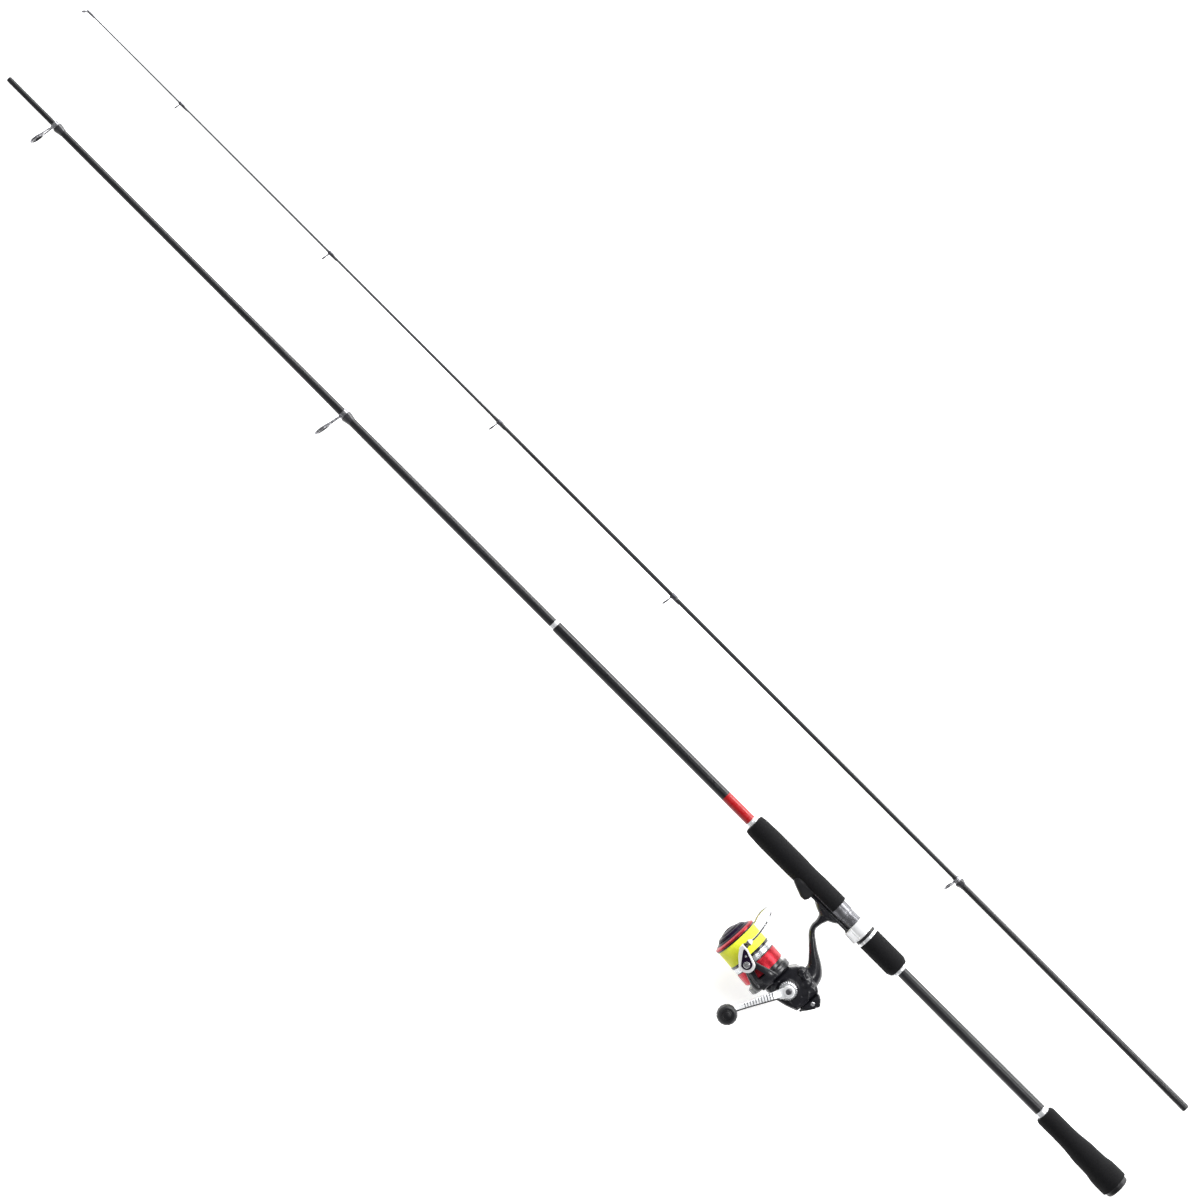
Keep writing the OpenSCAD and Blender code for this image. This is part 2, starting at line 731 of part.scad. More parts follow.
module tip_wraps() color([0.04, 0.04, 0.05]) {
    in_tip() {
        x = guide_3[0] - collar_l / 2;
        turned([[2.85, x - 6], [3.3, x - 6], [4.7, x - 2], [4.7, x], [2.85, x]]);
        for (g = [guide_4, guide_5, guide_6, guide_7]) {
            x1 = g[0] - collar_l / 2;
            tube(g[1] + 0.6, g[1], x1 - 3, x1);
        }
    }
}

module guide_3_frame() color([0.35, 0.36, 0.38]) in_tip() guide_frame(guide_3);
module guide_4_frame() color([0.35, 0.36, 0.38]) in_tip() guide_frame(guide_4);
module guide_5_frame() color([0.35, 0.36, 0.38]) in_tip() guide_frame(guide_5);
module guide_6_frame() color([0.35, 0.36, 0.38]) in_tip() guide_frame(guide_6);
module guide_7_frame() color([0.35, 0.36, 0.38]) in_tip() guide_frame(guide_7);

module tip_top() color([0.80, 0.81, 0.83]) {
    in_tip() {
        difference() {
            tube(1.2, 0, 1388, 1397);
            tube(0.75, 0, 1380, 1394);
        }
        translate([1398, 2.6, 0]) rotate([0, 0, -35]) tube(2.7, 1.8, -0.6, 0.6);
    }
}

module tip_guide_rings() color([0.12, 0.12, 0.14]) {
    in_tip() for (g = [guide_3, guide_4, guide_5, guide_6, guide_7]) guide_ring(g);
}

butt_blank();
blank_sleeve();
red_band();
trim_rings();
butt_grip();
butt_cap();
reel_seat();
fore_grip();
fixed_hood();
guide_1_frame();
guide_1_ring();
guide_2_frame();
guide_2_ring();
butt_wraps();
moving_hood();
lock_nut();
nut_grip();
nut_rings();
reel_body();
side_cover();
rear_guard();
cover_screws();
shaft_bearings();
rotor_bearing();
one_way_clutch();
anti_reverse_lever();
drive_shaft();
drive_gear();
handle_collar();
handle_cap();
handle_arm();
handle_knob();
knob_cap();
oscillation_gear();
main_shaft();
crosshead();
pinion_gear();
rotor();
rotor_nut();
bail_screws();
bail_arm();
bail_lever();
bail_wire();
line_roller();
spool();
spool_lip();
skirt_band();
skirt_ring();
line_winding();
drag_washers();
drag_knob();
tip_blank();
tip_wraps();
guide_3_frame();
guide_4_frame();
guide_5_frame();
guide_6_frame();
guide_7_frame();
tip_top();
tip_guide_rings();
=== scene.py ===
import json
import math

import bmesh
import bpy
from mathutils import Matrix, Vector


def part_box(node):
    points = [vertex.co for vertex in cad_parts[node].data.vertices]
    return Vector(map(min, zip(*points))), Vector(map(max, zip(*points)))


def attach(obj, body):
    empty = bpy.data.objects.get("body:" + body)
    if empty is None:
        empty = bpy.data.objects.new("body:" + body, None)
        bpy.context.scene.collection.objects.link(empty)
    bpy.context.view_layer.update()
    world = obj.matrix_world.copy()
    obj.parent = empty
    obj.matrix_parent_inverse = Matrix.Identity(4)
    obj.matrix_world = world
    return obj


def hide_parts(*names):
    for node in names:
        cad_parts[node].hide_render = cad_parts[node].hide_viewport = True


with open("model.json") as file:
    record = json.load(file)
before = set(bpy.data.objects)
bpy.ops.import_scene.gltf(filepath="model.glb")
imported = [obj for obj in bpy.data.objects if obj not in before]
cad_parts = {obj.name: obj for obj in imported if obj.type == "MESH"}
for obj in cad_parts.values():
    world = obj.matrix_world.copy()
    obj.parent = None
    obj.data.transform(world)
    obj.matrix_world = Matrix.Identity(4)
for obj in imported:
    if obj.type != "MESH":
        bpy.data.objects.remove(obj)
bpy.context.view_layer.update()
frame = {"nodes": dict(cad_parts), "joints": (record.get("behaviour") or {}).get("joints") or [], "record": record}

# Outlines are in millimetres in the frame of the piece they belong to. Meshes are in metres.
MM = 0.001
AROUND = 96              # segments of a turned piece
JOINTS = {j["name"]: j for j in frame["joints"]}
UP = Vector((0, 0, 1))


# ---- frames: where each group of pieces sits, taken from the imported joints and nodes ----

def axes_at(origin, x_axis, z_axis):
    """Frame with its X along x_axis and its Z as near z_axis as it can be."""
    x = Vector(x_axis).normalized()
    y = Vector(z_axis).cross(x).normalized()
    z = x.cross(y)
    return Matrix.Translation(origin) @ Matrix((x, y, z)).transposed().to_4x4()


def centre(node):
    low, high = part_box(node)
    return (low + high) / 2


def pos(joint):
    return Vector(JOINTS[joint]["pos_m"])


SHAFT = JOINTS["rotor_spin"]["axis"]
ROD = Matrix.Identity(4)
TIP = Matrix.Translation((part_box("tip_blank")[0].x, centre("tip_blank").y, centre("tip_blank").z))
REEL = axes_at(pos("rotor_spin"), SHAFT, UP)
HUB = axes_at(pos("crank_turn"), SHAFT, UP)
ARM = axes_at(pos("crank_turn"), pos("knob_spin") - pos("crank_turn"), UP)
ROTOR = axes_at(pos("rotor_spin"), SHAFT, JOINTS["bail_flip"]["axis"])
STAND = Matrix.Rotation(-math.pi / 2, 4, "Y")          # turns a lathe's X axis up to +Z
HANG = STAND @ Matrix.Scale(-1, 4, (1, 0, 0))          # mirrors it down to -Z
TO_MINUS_Y = Matrix.Rotation(-math.pi / 2, 4, "Z")     # turns it to -Y
TO_PLUS_Y = Matrix.Rotation(-math.pi / 2, 4, "X")      # turns a slab's Z axis to +Y
HALF_TURN = Matrix.Rotation(math.pi, 4, "X")


def shifted(x=0.0, y=0.0, z=0.0):
    return Matrix.Translation((x * MM, y * MM, z * MM))


# ---- outlines ----

def rounded(points, radius, closed=True, steps=5):
    """The outline with its corners turned into arcs. A point's third number is its own radius."""
    count = len(points)
    out = []
    for i, point in enumerate(points):
        here = Vector(point[:2])
        if not closed and i in (0, count - 1):
            out.append(here)
            continue
        back = Vector(points[i - 1][:2]) - here
        ahead = Vector(points[(i + 1) % count][:2]) - here
        reach_max = 0.48 * min(back.length, ahead.length)
        back.normalize()
        ahead.normalize()
        half = back.angle(ahead) / 2
        r = point[2] if len(point) > 2 else radius
        if r <= 0 or half > math.pi / 2 - 0.03:
            out.append(here)
            continue
        reach = min(r / math.tan(half), reach_max)
        r = reach * math.tan(half)
        hub = here + (back + ahead).normalized() * (r / math.sin(half))
        arm = here + back * reach - hub
        turn = math.copysign(math.pi - 2 * half, arm.cross(here + ahead * reach - hub))
        for k in range(steps + 1):
            a = turn * k / steps
            out.append(hub + Vector((arm.x * math.cos(a) - arm.y * math.sin(a),
                                     arm.x * math.sin(a) + arm.y * math.cos(a))))
    return out


def mirrored(half):
    """The half outline followed by its mirror image across the X axis."""
    return half + [(x, -y, *r) for x, y, *r in reversed(half)]


def inset(outline, amount):
    """The closed outline moved inwards, point by point."""
    count = len(outline)
    area = sum(outline[i - 1].cross(outline[i]) for i in range(count))
    out = []
    for i, p in enumerate(outline):
        along = (outline[(i + 1) % count] - outline[i - 1]).normalized()
        normal = Vector((-along.y, along.x)) * (1 if area > 0 else -1)
        out.append(p + normal * amount)
    return out


def spline(points, steps):
    """Points along a smooth curve through the given points."""
    pts = [Vector(p) for p in points]
    last = len(pts) - 1
    out = []
    for i in range(last):
        a, b, c, d = (pts[min(max(i + k, 0), last)] for k in (-1, 0, 1, 2))
        for k in range(steps):
            t = k / steps
            out.append(0.5 * (2 * b + (c - a) * t + (2 * a - 5 * b + 4 * c - d) * t * t
                              + (3 * b - a - 3 * c + d) * t * t * t))
    return out + [pts[-1]]


def arc(r, start, end, x=0.0, y=0.0, count=24):
    """Points on a circle round (x, y), between two angles in degrees."""
    turns = [math.radians(start + (end - start) * k / count) for k in range(count + 1)]
    return [(x + r * math.cos(a), y + r * math.sin(a), 0) for a in turns]


# ---- mesh shapes ----

def skin(rings, loop=False):
    """Closed mesh through rings of points in mm. A ring of one point is a tip."""
    verts, faces, starts = [], [], []
    for ring in rings:
        starts.append(len(verts))
        verts.extend(ring)
    pairs = [(i, i + 1) for i in range(len(rings) - 1)] + ([(len(rings) - 1, 0)] if loop else [])
    for a, b in pairs:
        na, nb = len(rings[a]), len(rings[b])
        for k in range(max(na, nb)):
            quad = (starts[a] + k % na, starts[a] + (k + 1) % na,
                    starts[b] + (k + 1) % nb, starts[b] + k % nb)
            faces.append(tuple(dict.fromkeys(quad)))
    if not loop:
        faces += [tuple(range(starts[i], starts[i] + len(rings[i])))
                  for i in (0, -1) if len(rings[i]) > 1]
    mesh = bpy.data.meshes.new("shape")
    mesh.from_pydata([Vector(v) * MM for v in verts], [], faces)
    return tidied(mesh)


def tidied(mesh):
    bm = bmesh.new()
    bm.from_mesh(mesh)
    bmesh.ops.recalc_face_normals(bm, faces=bm.faces)
    bm.to_mesh(mesh)
    bm.free()
    return mesh


def lathe(outline, edge=0.25, around=AROUND, warp=None):
    """Solid turned about X. The outline is (station, radius) in mm, open if it starts and ends on
    the axis. warp(angle, station, radius) may change the radius."""
    on_axis = outline[0][1] == 0 and outline[-1][1] == 0
    rings = []
    for s, r in rounded(outline, edge, closed=not on_axis, steps=4):
        if r < 1e-6:
            rings.append([(s, 0, 0)])
            continue
        ring = []
        for k in range(around):
            a = math.tau * k / around
            q = warp(a, s, r) if warp else r
            ring.append((s, q * math.cos(a), q * math.sin(a)))
        rings.append(ring)
    return skin(rings, loop=not on_axis)


def upright(outline, edge=0.25, place=ROD, around=AROUND, warp=None):
    """A lathe's solid with its X axis turned up to the +Z of the place."""
    return placed(lathe(outline, edge, around, warp), place @ STAND)


def cylinder(x0, x1, r, edge=0.0, around=AROUND):
    return lathe([(x0, 0), (x0, r), (x1, r), (x1, 0)], edge, around)


def slab(outline, z0, z1, edge=0.8, crown=0.0, steps=4):
    """Plate along Z with rounded rims. crown raises the middle of the +Z face by that much."""
    rings = []
    for k in range(steps + 1):
        a = math.pi / 2 * k / steps
        rings.append((inset(outline, edge * (1 - math.sin(a))), z0 + edge * (1 - math.cos(a))))
    for k in range(steps + 1):
        a = math.pi / 2 * k / steps
        rings.append((inset(outline, edge * (1 - math.cos(a))), z1 - edge * (1 - math.sin(a))))
    if crown:
        rings.append((inset(outline, edge * 2.5), z1 + crown * 0.7))
        rings.append((inset(outline, edge * 4.0), z1 + crown))
    return skin([[(p.x, p.y, z) for p in ring] for ring, z in rings])


def block(xs, ys, zs, corner, edge):
    """Slab over a rectangle: xs, ys and zs are its (low, high) limits."""
    (x0, x1), (y0, y1) = xs, ys
    return slab(rounded([(x0, y0), (x1, y0), (x1, y1), (x0, y1)], corner), *zs, edge)


def sweep(path, radii, sides=24, flat=None):
    """Tube along the path. radii gives a radius, or (across, up), for each point; flat is the up
    direction that across is square to."""
    path = [Vector(p) for p in path]
    rings = []
    side = None
    for i, p in enumerate(path):
        along = (path[min(i + 1, len(path) - 1)] - path[max(i - 1, 0)]).normalized()
        if flat:
            u = along.cross(Vector(flat)).normalized()
        else:
            u = (side - along * side.dot(along)) if side else along.orthogonal()
            u.normalize()
        side = u
        v = along.cross(u)
        ra, rb = radii[i] if isinstance(radii[i], tuple) else (radii[i], radii[i])
        rings.append([p + u * ra * math.cos(math.tau * k / sides)
                      + v * rb * math.sin(math.tau * k / sides) for k in range(sides)])
    return skin(rings)


def wire(points, size, sides, steps=6):
    """Tube of one size along a smooth curve through the points."""
    path = spline(points, steps)
    return sweep(path, [size] * len(path), sides)


def placed(mesh, matrix):
    mesh.transform(matrix)
    if matrix.determinant() < 0:
        mesh.flip_normals()
    return mesh


def joined(meshes):
    bm = bmesh.new()
    for m in meshes:
        bm.from_mesh(m)
    out = bpy.data.meshes.new("shape")
    bm.to_mesh(out)
    bm.free()
    return out


def linked(name, data):
    """New object in the scene."""
    obj = bpy.data.objects.new(name, data)
    bpy.context.scene.collection.objects.link(obj)
    return obj


def through_modifiers(mesh, changes):
    """The mesh after a list of (modifier type, settings), applied."""
    obj = linked("work", mesh)
    for kind, settings in changes:
        mod = obj.modifiers.new(kind, kind)
        for key, value in settings.items():
            setattr(mod, key, value)
    depsgraph = bpy.context.evaluated_depsgraph_get()
    out = bpy.data.meshes.new_from_object(obj.evaluated_get(depsgraph))
    bpy.data.objects.remove(obj)
    return out


def moulded(meshes, voxel=0.45, smooth=5, factor=0.5):
    """One skin round overlapping shapes, with its inner corners softened as in a moulded part."""
    return through_modifiers(joined(meshes), [
        ("REMESH", {"mode": "VOXEL", "voxel_size": voxel * MM}),
        ("SMOOTH", {"iterations": smooth, "factor": factor}),
    ])


def cut(mesh, *tools):
    """The mesh with the tool meshes taken away."""
    for tool in tools:
        holder = linked("tool", tool)
        mesh = through_modifiers(mesh, [
            ("BOOLEAN", {"operation": "DIFFERENCE", "object": holder, "solver": "EXACT"}),
        ])
        bpy.data.objects.remove(holder)
    return mesh


def piece(name, mesh, place, body, material, *nodes, sharp=32):
    """Shown piece at its place, riding on a body and standing for the CAD nodes."""
    mesh.polygons.foreach_set("use_smooth", [True] * len(mesh.polygons))
    mesh.set_sharp_from_angle(angle=math.radians(sharp))
    mesh.materials.clear()
    mesh.materials.append(FINISH[material])
    obj = linked(name, mesh)
    obj.matrix_world = place
    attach(obj, body)
    if nodes:
        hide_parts(*nodes)
    return obj


# ---- materials ----

class Shader:
    """A Principled material with helpers that add one procedural layer each."""

    def __init__(self, name, colour, roughness, **sockets):
        self.mat = bpy.data.materials.new(name)
        self.mat.use_nodes = True
        self.nodes = self.mat.node_tree.nodes
        self.links = self.mat.node_tree.links
        self.bsdf = self.nodes["Principled BSDF"]
        self.bsdf.inputs["Base Color"].default_value = (*colour, 1)
        self.bsdf.inputs["Roughness"].default_value = roughness
        for key, value in sockets.items():
            socket = key.replace("_", " ").title().replace("Ior", "IOR")
            self.bsdf.inputs[socket].default_value = value
        self.coord = self.nodes.new("ShaderNodeTexCoord").outputs["Object"]
        self.mat.diffuse_color = (*colour, 1)

    def node(self, kind, inputs=None, **settings):
        made = self.nodes.new(kind)
        for key, value in settings.items():
            setattr(made, key, value)
        for key, value in (inputs or {}).items():
            if isinstance(value, bpy.types.NodeSocket):
                self.links.new(value, made.inputs[key])
            else:
                made.inputs[key].default_value = value
        return made

    def stretched(self, scale):
        return self.node("ShaderNodeMapping", {"Vector": self.coord, "Scale": scale}).outputs[0]

    def noise(self, per_mm, detail=3.0, stretch=(1, 1, 1), rough=0.5):
        scale = tuple(per_mm * 1000 * s for s in stretch)
        return self.node("ShaderNodeTexNoise", {"Vector": self.stretched(scale), "Scale": 1.0,
                                                "Detail": detail, "Roughness": rough}).outputs["Fac"]

    def cells(self, per_mm, stretch=(1, 1, 1)):
        scale = tuple(per_mm * 1000 * s for s in stretch)
        return self.node("ShaderNodeTexVoronoi",
                         {"Vector": self.stretched(scale), "Scale": 1.0}).outputs["Distance"]

    def along(self, axis):
        return self.node("ShaderNodeSeparateXYZ", {"Vector": self.coord}).outputs[axis]

    def waves(self, pitch_mm, tilt=0.0):
        """Ridges square to X, leaning by tilt, with a pitch in mm."""
        per_m = 1000 * math.tau / pitch_mm
        phase = self.math("MULTIPLY", self.along("X"), per_m)
        if tilt:
            across = self.math("MULTIPLY", self.along("Z"), per_m * tilt)
            phase = self.math("ADD", phase, across)
        return self.math("SINE", phase, 0.0)

    def math(self, operation, a, b):
        return self.node("ShaderNodeMath", {0: a, 1: b}, operation=operation).outputs[0]

    def spread(self, fac, low, high, to_low, to_high):
        return self.node("ShaderNodeMapRange", {"Value": fac, "From Min": low, "From Max": high,
                                                "To Min": to_low, "To Max": to_high}).outputs[0]

    def tint(self, fac, low, high, dark, light):
        """Colour that runs from dark at fac low to light at fac high."""
        ramp = self.node("ShaderNodeValToRGB", {"Fac": self.spread(fac, low, high, 0.0, 1.0)})
        ramp.color_ramp.elements[0].color = (*dark, 1)
        ramp.color_ramp.elements[1].color = (*light, 1)
        self.links.new(ramp.outputs["Color"], self.bsdf.inputs["Base Color"])
        return ramp.outputs["Color"]

    def mix_colour(self, fac, a, b):
        """Colour that runs from a at fac 0 to b at fac 1."""
        made = self.node("ShaderNodeMix", {0: fac, 6: a, 7: b}, data_type="RGBA")
        self.links.new(made.outputs[2], self.bsdf.inputs["Base Color"])

    def gloss(self, fac, low, high, smooth, rough):
        self.links.new(self.spread(fac, low, high, smooth, rough), self.bsdf.inputs["Roughness"])

    def bump(self, height, depth_mm, strength=1.0):
        """Adds relief on top of what is there already."""
        socket = self.bsdf.inputs["Normal"]
        below = socket.links[0].from_socket if socket.is_linked else None
        inputs = {"Height": height, "Distance": depth_mm * MM, "Strength": strength}
        if below:
            inputs["Normal"] = below
        self.links.new(self.node("ShaderNodeBump", inputs).outputs[0], socket)


def lacquer(name, dark, light, roughness, coat=1.0, peel=0.004):
    """Glossy paint: fine flake in the colour, orange peel in the coat."""
    s = Shader(name, dark, roughness, coat_weight=coat, coat_roughness=0.04, ior=1.5)
    s.tint(s.noise(3.0, 4.0), 0.35, 0.75, dark, light)
    s.gloss(s.noise(0.25, 3.0), 0.3, 0.7, roughness * 0.8, roughness * 1.25)
    s.bump(s.noise(0.9, 2.0), peel)
    return s.mat


FADE_LENGTH = 0.6        # metres over which the tip's blank turns paler


def blank_carbon(name, pale_from=None):
    """Graphite under clear coat: long streaks, and the faint ridges that the wrapping tape leaves.
    From the station pale_from, in metres, the colour fades to grey."""
    s = Shader(name, (0.01, 0.01, 0.011), 0.36, coat_weight=0.25, coat_roughness=0.22, ior=1.5)
    streaks = s.noise(2.6, 4.0, stretch=(0.02, 1, 1))
    dark = s.tint(streaks, 0.38, 0.72, (0.004, 0.004, 0.005), (0.020, 0.020, 0.023))
    if pale_from:
        fade = s.spread(s.along("X"), pale_from, pale_from + FADE_LENGTH, 0.0, 1.0)
        s.mix_colour(fade, dark, (0.12, 0.125, 0.135, 1))
    s.gloss(s.noise(0.5, 3.0, stretch=(0.1, 1, 1)), 0.3, 0.7, 0.32, 0.46)
    s.bump(s.waves(2.2, 0.35), 0.012)
    s.bump(streaks, 0.006)
    return s.mat


def foam():
    """EVA foam: matt, with small closed pores and a trace of sheen."""
    s = Shader("eva_foam", (0.007, 0.007, 0.008), 0.86, sheen_weight=0.03, sheen_roughness=0.5,
               specular_ior_level=0.18)
    pores = s.cells(1.7)
    s.tint(s.noise(1.1, 5.0, rough=0.7), 0.3, 0.72, (0.003, 0.003, 0.0035), (0.010, 0.010, 0.011))
    s.gloss(pores, 0.0, 0.6, 0.95, 0.78)
    s.bump(pores, 0.10, 0.7)
    s.bump(s.noise(5.0, 3.0), 0.05, 0.6)
    return s.mat


def moulded_plastic(name, dark, light, roughness, grain=3.0, depth=0.02, **sockets):
    """Satin moulded plastic or rubber with a fine spark-eroded grain."""
    s = Shader(name, dark, roughness, **sockets)
    s.tint(s.noise(0.12, 4.0), 0.3, 0.7, dark, light)
    s.gloss(s.noise(0.6, 4.0), 0.3, 0.7, roughness * 0.85, roughness * 1.15)
    s.bump(s.noise(grain, 3.0), depth, 0.6)
    return s.mat


def metal(name, dark, light, smooth, rough, pitch_mm=0.0, scratch=(1, 1, 1), metallic=1.0):
    """Bare or plated metal: clouded gloss, fine scratches, and turning marks if pitch_mm is set."""
    s = Shader(name, light, smooth, metallic=metallic)
    s.tint(s.noise(0.15, 4.0), 0.3, 0.7, dark, light)
    s.gloss(s.noise(1.2, 5.0, stretch=scratch, rough=0.7), 0.3, 0.75, smooth, rough)
    s.bump(s.noise(4.0, 2.0, stretch=scratch), 0.0015)
    if pitch_mm:
        s.bump(s.waves(pitch_mm), 0.006, 0.5)
    return s.mat


def thread():
    """Black winding thread seen through clear epoxy, each turn's crest painted lighter as a highlight and the
    groove between turns painted darker as shade.
    """
    s = Shader("thread_wrap", (0.012, 0.012, 0.014), 0.3, coat_weight=1.0, coat_roughness=0.03)
    ridges = s.waves(0.22)
    # the colour follows the ridges' height: painted highlight on the crests and painted shade in the grooves
    s.tint(ridges, -1.0, 1.0, (0.006, 0.006, 0.007), (0.035, 0.035, 0.042))
    s.bump(ridges, 0.02, 0.6)
    s.bump(s.noise(0.3, 2.0), 0.03)
    return s.mat


def fishing_line():
    """Braided line: neighbouring turns differ a little in colour, and each turn has a fine weave. It also glows
    faintly: painted brightness that stands in for light.
    """
    # the emission is painted light: the line glows a little so that it reads brighter yellow
    s = Shader("line_yellow", (0.90, 0.94, 0.04), 0.5, specular_ior_level=0.3, sheen_weight=0.05,
               sheen_roughness=0.4, subsurface_weight=0.05, emission_color=(0.80, 0.86, 0.04, 1),
               emission_strength=0.12)
    turns = s.noise(0.9, 3.0, stretch=(3.2, 0.5, 0.5))
    s.tint(turns, 0.25, 0.75, (0.82, 0.84, 0.02), (0.96, 0.98, 0.10))
    s.gloss(s.noise(2.0, 3.0), 0.3, 0.7, 0.34, 0.55)
    s.bump(s.waves(0.36, 0.4), 0.05, 0.7)
    s.bump(s.noise(6.0, 3.0), 0.015)
    return s.mat


def felt():
    """Matted fibre, soft at the edges."""
    s = Shader("washer_felt", (0.42, 0.38, 0.30), 0.95, sheen_weight=0.4, sheen_roughness=0.6)
    fibre = s.noise(2.5, 6.0, rough=0.75)
    s.tint(fibre, 0.3, 0.7, (0.30, 0.27, 0.20), (0.58, 0.53, 0.43))
    s.bump(fibre, 0.08)
    return s.mat


FINISH = {
    "carbon": blank_carbon("carbon"),
    "carbon/tip": blank_carbon("carbon_tip", 0.82),
    "sleeve_gloss": lacquer("sleeve_gloss", (0.003, 0.003, 0.004), (0.010, 0.010, 0.012), 0.32, 0.3),
    "red_lacquer": lacquer("red_lacquer", (0.26, 0.002, 0.004), (0.44, 0.006, 0.010), 0.28, 0.4),
    "silver_trim": metal("silver_trim", (0.80, 0.81, 0.84), (0.94, 0.95, 0.96), 0.16, 0.3, 0.18,
                         metallic=0.6),
    "eva_foam": foam(),
    "black_plastic": moulded_plastic("black_plastic", (0.004, 0.004, 0.005), (0.010, 0.010, 0.011),
                                     0.42, coat_weight=0.1, coat_roughness=0.3),
    "seat_grey": metal("seat_grey", (0.15, 0.15, 0.16), (0.30, 0.30, 0.32), 0.26, 0.42, 0.0,
                       scratch=(0.1, 1, 1), metallic=0.8),
    "chrome": metal("chrome", (0.92, 0.93, 0.94), (0.98, 0.98, 0.99), 0.08, 0.18, metallic=0.4),
    "chrome/wire": metal("chrome_wire", (0.52, 0.53, 0.55), (0.74, 0.75, 0.77), 0.1, 0.22,
                         metallic=0.95),
    "chrome/arm": metal("chrome_arm", (0.76, 0.77, 0.79), (0.90, 0.91, 0.92), 0.12, 0.24,
                        metallic=0.5),
    "guide_steel": metal("guide_steel", (0.20, 0.20, 0.22), (0.42, 0.42, 0.44), 0.16, 0.3,
                         metallic=0.8),
    "guide_steel/dark": metal("guide_steel_dark", (0.05, 0.05, 0.06), (0.16, 0.16, 0.18), 0.2, 0.36,
                              metallic=0.7),
    "guide_ceramic": lacquer("guide_ceramic", (0.012, 0.012, 0.014), (0.03, 0.03, 0.034), 0.16, 0.8,
                             0.001),
    "thread_wrap": thread(),
    "reel_black": lacquer("reel_black", (0.003, 0.003, 0.0045), (0.012, 0.012, 0.016), 0.3, 0.35),
    "drag_gloss": moulded_plastic("drag_gloss", (0.004, 0.002, 0.008), (0.014, 0.007, 0.024), 0.22,
                                  ior=1.3, specular_ior_level=0.3),
    "red_anodised": metal("red_anodised", (0.34, 0.005, 0.014), (0.58, 0.024, 0.044), 0.24, 0.38, 0.16,
                          metallic=0.6),
    "red_anodised/lip": metal("red_anodised_lip", (0.26, 0.006, 0.012), (0.50, 0.03, 0.045), 0.24, 0.36,
                              0.16, metallic=0.6),
    "silver_anodised": metal("silver_anodised", (0.50, 0.51, 0.53), (0.74, 0.75, 0.77), 0.18, 0.34, 0.2,
                             metallic=0.8),
    "steel": metal("steel", (0.55, 0.55, 0.57), (0.78, 0.78, 0.80), 0.16, 0.36, metallic=0.8),
    "steel/dark": metal("steel_dark", (0.10, 0.10, 0.11), (0.22, 0.22, 0.24), 0.26, 0.4, metallic=0.8),
    "gear_brass": metal("gear_brass", (0.62, 0.44, 0.14), (0.86, 0.66, 0.28), 0.2, 0.4),
    "gear_brass/coated": metal("gear_brass_coated", (0.12, 0.11, 0.10), (0.24, 0.22, 0.19), 0.2, 0.34),
    "gear_plastic": moulded_plastic("gear_plastic", (0.62, 0.60, 0.54), (0.78, 0.76, 0.70), 0.4,
                                    subsurface_weight=0.08),
    "knob_rubber": moulded_plastic("knob_rubber", (0.006, 0.006, 0.007), (0.016, 0.016, 0.018), 0.5,
                                   5.0, 0.03),
    "line_yellow": fishing_line(),
    "washer_felt": felt(),
}


# ---- camera, light and floor ----

TARGET = Vector((0.698, -0.0442, 0))
FRAME_W = 1.0704         # what the picture's width takes in at the target, in metres
LENS, SENSOR = 100, 36
FLOOR_DROP = 0.056       # below the rod's axis: clear of the bail as it goes round
FLOOR_HALF = 40          # from the middle to its edge, so that low views see no edge


def camera():
    """Looks straight down, with the rod lying along the picture's diagonal."""
    data = bpy.data.cameras.new("camera")
    data.lens = LENS
    data.sensor_width = SENSOR
    data.clip_end = 50
    cam = linked("camera", data)
    image_up = Vector((1, -1, 0)).normalized()
    image_right = image_up.cross(UP)
    turn = Matrix((image_right, image_up, UP)).transposed().to_4x4()
    cam.matrix_world = Matrix.Translation(TARGET + UP * (FRAME_W * LENS / SENSOR)) @ turn
    bpy.context.scene.camera = cam


def area_light(name, place, aim, size, power, glints=True):
    """Rectangular light. Without glints it isn't seen in reflections."""
    data = bpy.data.lights.new(name, "AREA")
    data.shape = "RECTANGLE"
    data.size, data.size_y = size
    data.energy = power
    light = linked(name, data)
    light.location = place
    light.rotation_euler = (Vector(aim) - Vector(place)).to_track_quat("-Z", "Y").to_euler()
    light.visible_glossy = glints


def studio():
    world = bpy.data.worlds.new("studio")
    bpy.context.scene.world = world
    world.use_nodes = True
    background = world.node_tree.nodes["Background"]
    background.inputs["Color"].default_value = (0.97, 0.98, 1.0, 1)
    background.inputs["Strength"].default_value = 0.16
    mid = (0.7, 0.0, 0.0)
    area_light("key", (0.7, -1.4, 2.1), mid, (2.8, 1.2), 84, glints=False)
    area_light("side", (0.7, -2.2, 0.70), mid, (3.2, 0.8), 64)
    area_light("glint", (-0.3, -0.7, 1.6), (0.36, 0.08, 0), (0.35, 0.35), 5)
    area_light("fill", (0.7, 1.8, 1.1), mid, (2.4, 0.35), 4)
    bpy.context.scene.view_settings.view_transform = "Standard"


def floor():
    """Pale paper that glows a little, so that it stays white under soft light."""
    bm = bmesh.new()
    bmesh.ops.create_grid(bm, x_segments=1, y_segments=1, size=FLOOR_HALF)
    mesh = bpy.data.meshes.new("floor")
    bm.to_mesh(mesh)
    bm.free()
    s = Shader("floor_paper", (0.93, 0.93, 0.93), 0.8, emission_color=(1, 1, 1, 1),
               emission_strength=0.6)
    s.tint(s.noise(0.02, 4.0), 0.2, 0.8, (0.92, 0.92, 0.92), (0.95, 0.95, 0.95))
    mesh.materials.append(s.mat)
    obj = linked("floor", mesh)
    obj.location = (0.7, 0, -FLOOR_DROP)


camera()
studio()
floor()


# ---- rod: blanks, sleeve, grips and seat ----

def span(node):
    """First station, last station and radius in mm of a node turned about the rod."""
    low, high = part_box(node)
    return low.x / MM, high.x / MM, (high.z - low.z) / 2 / MM


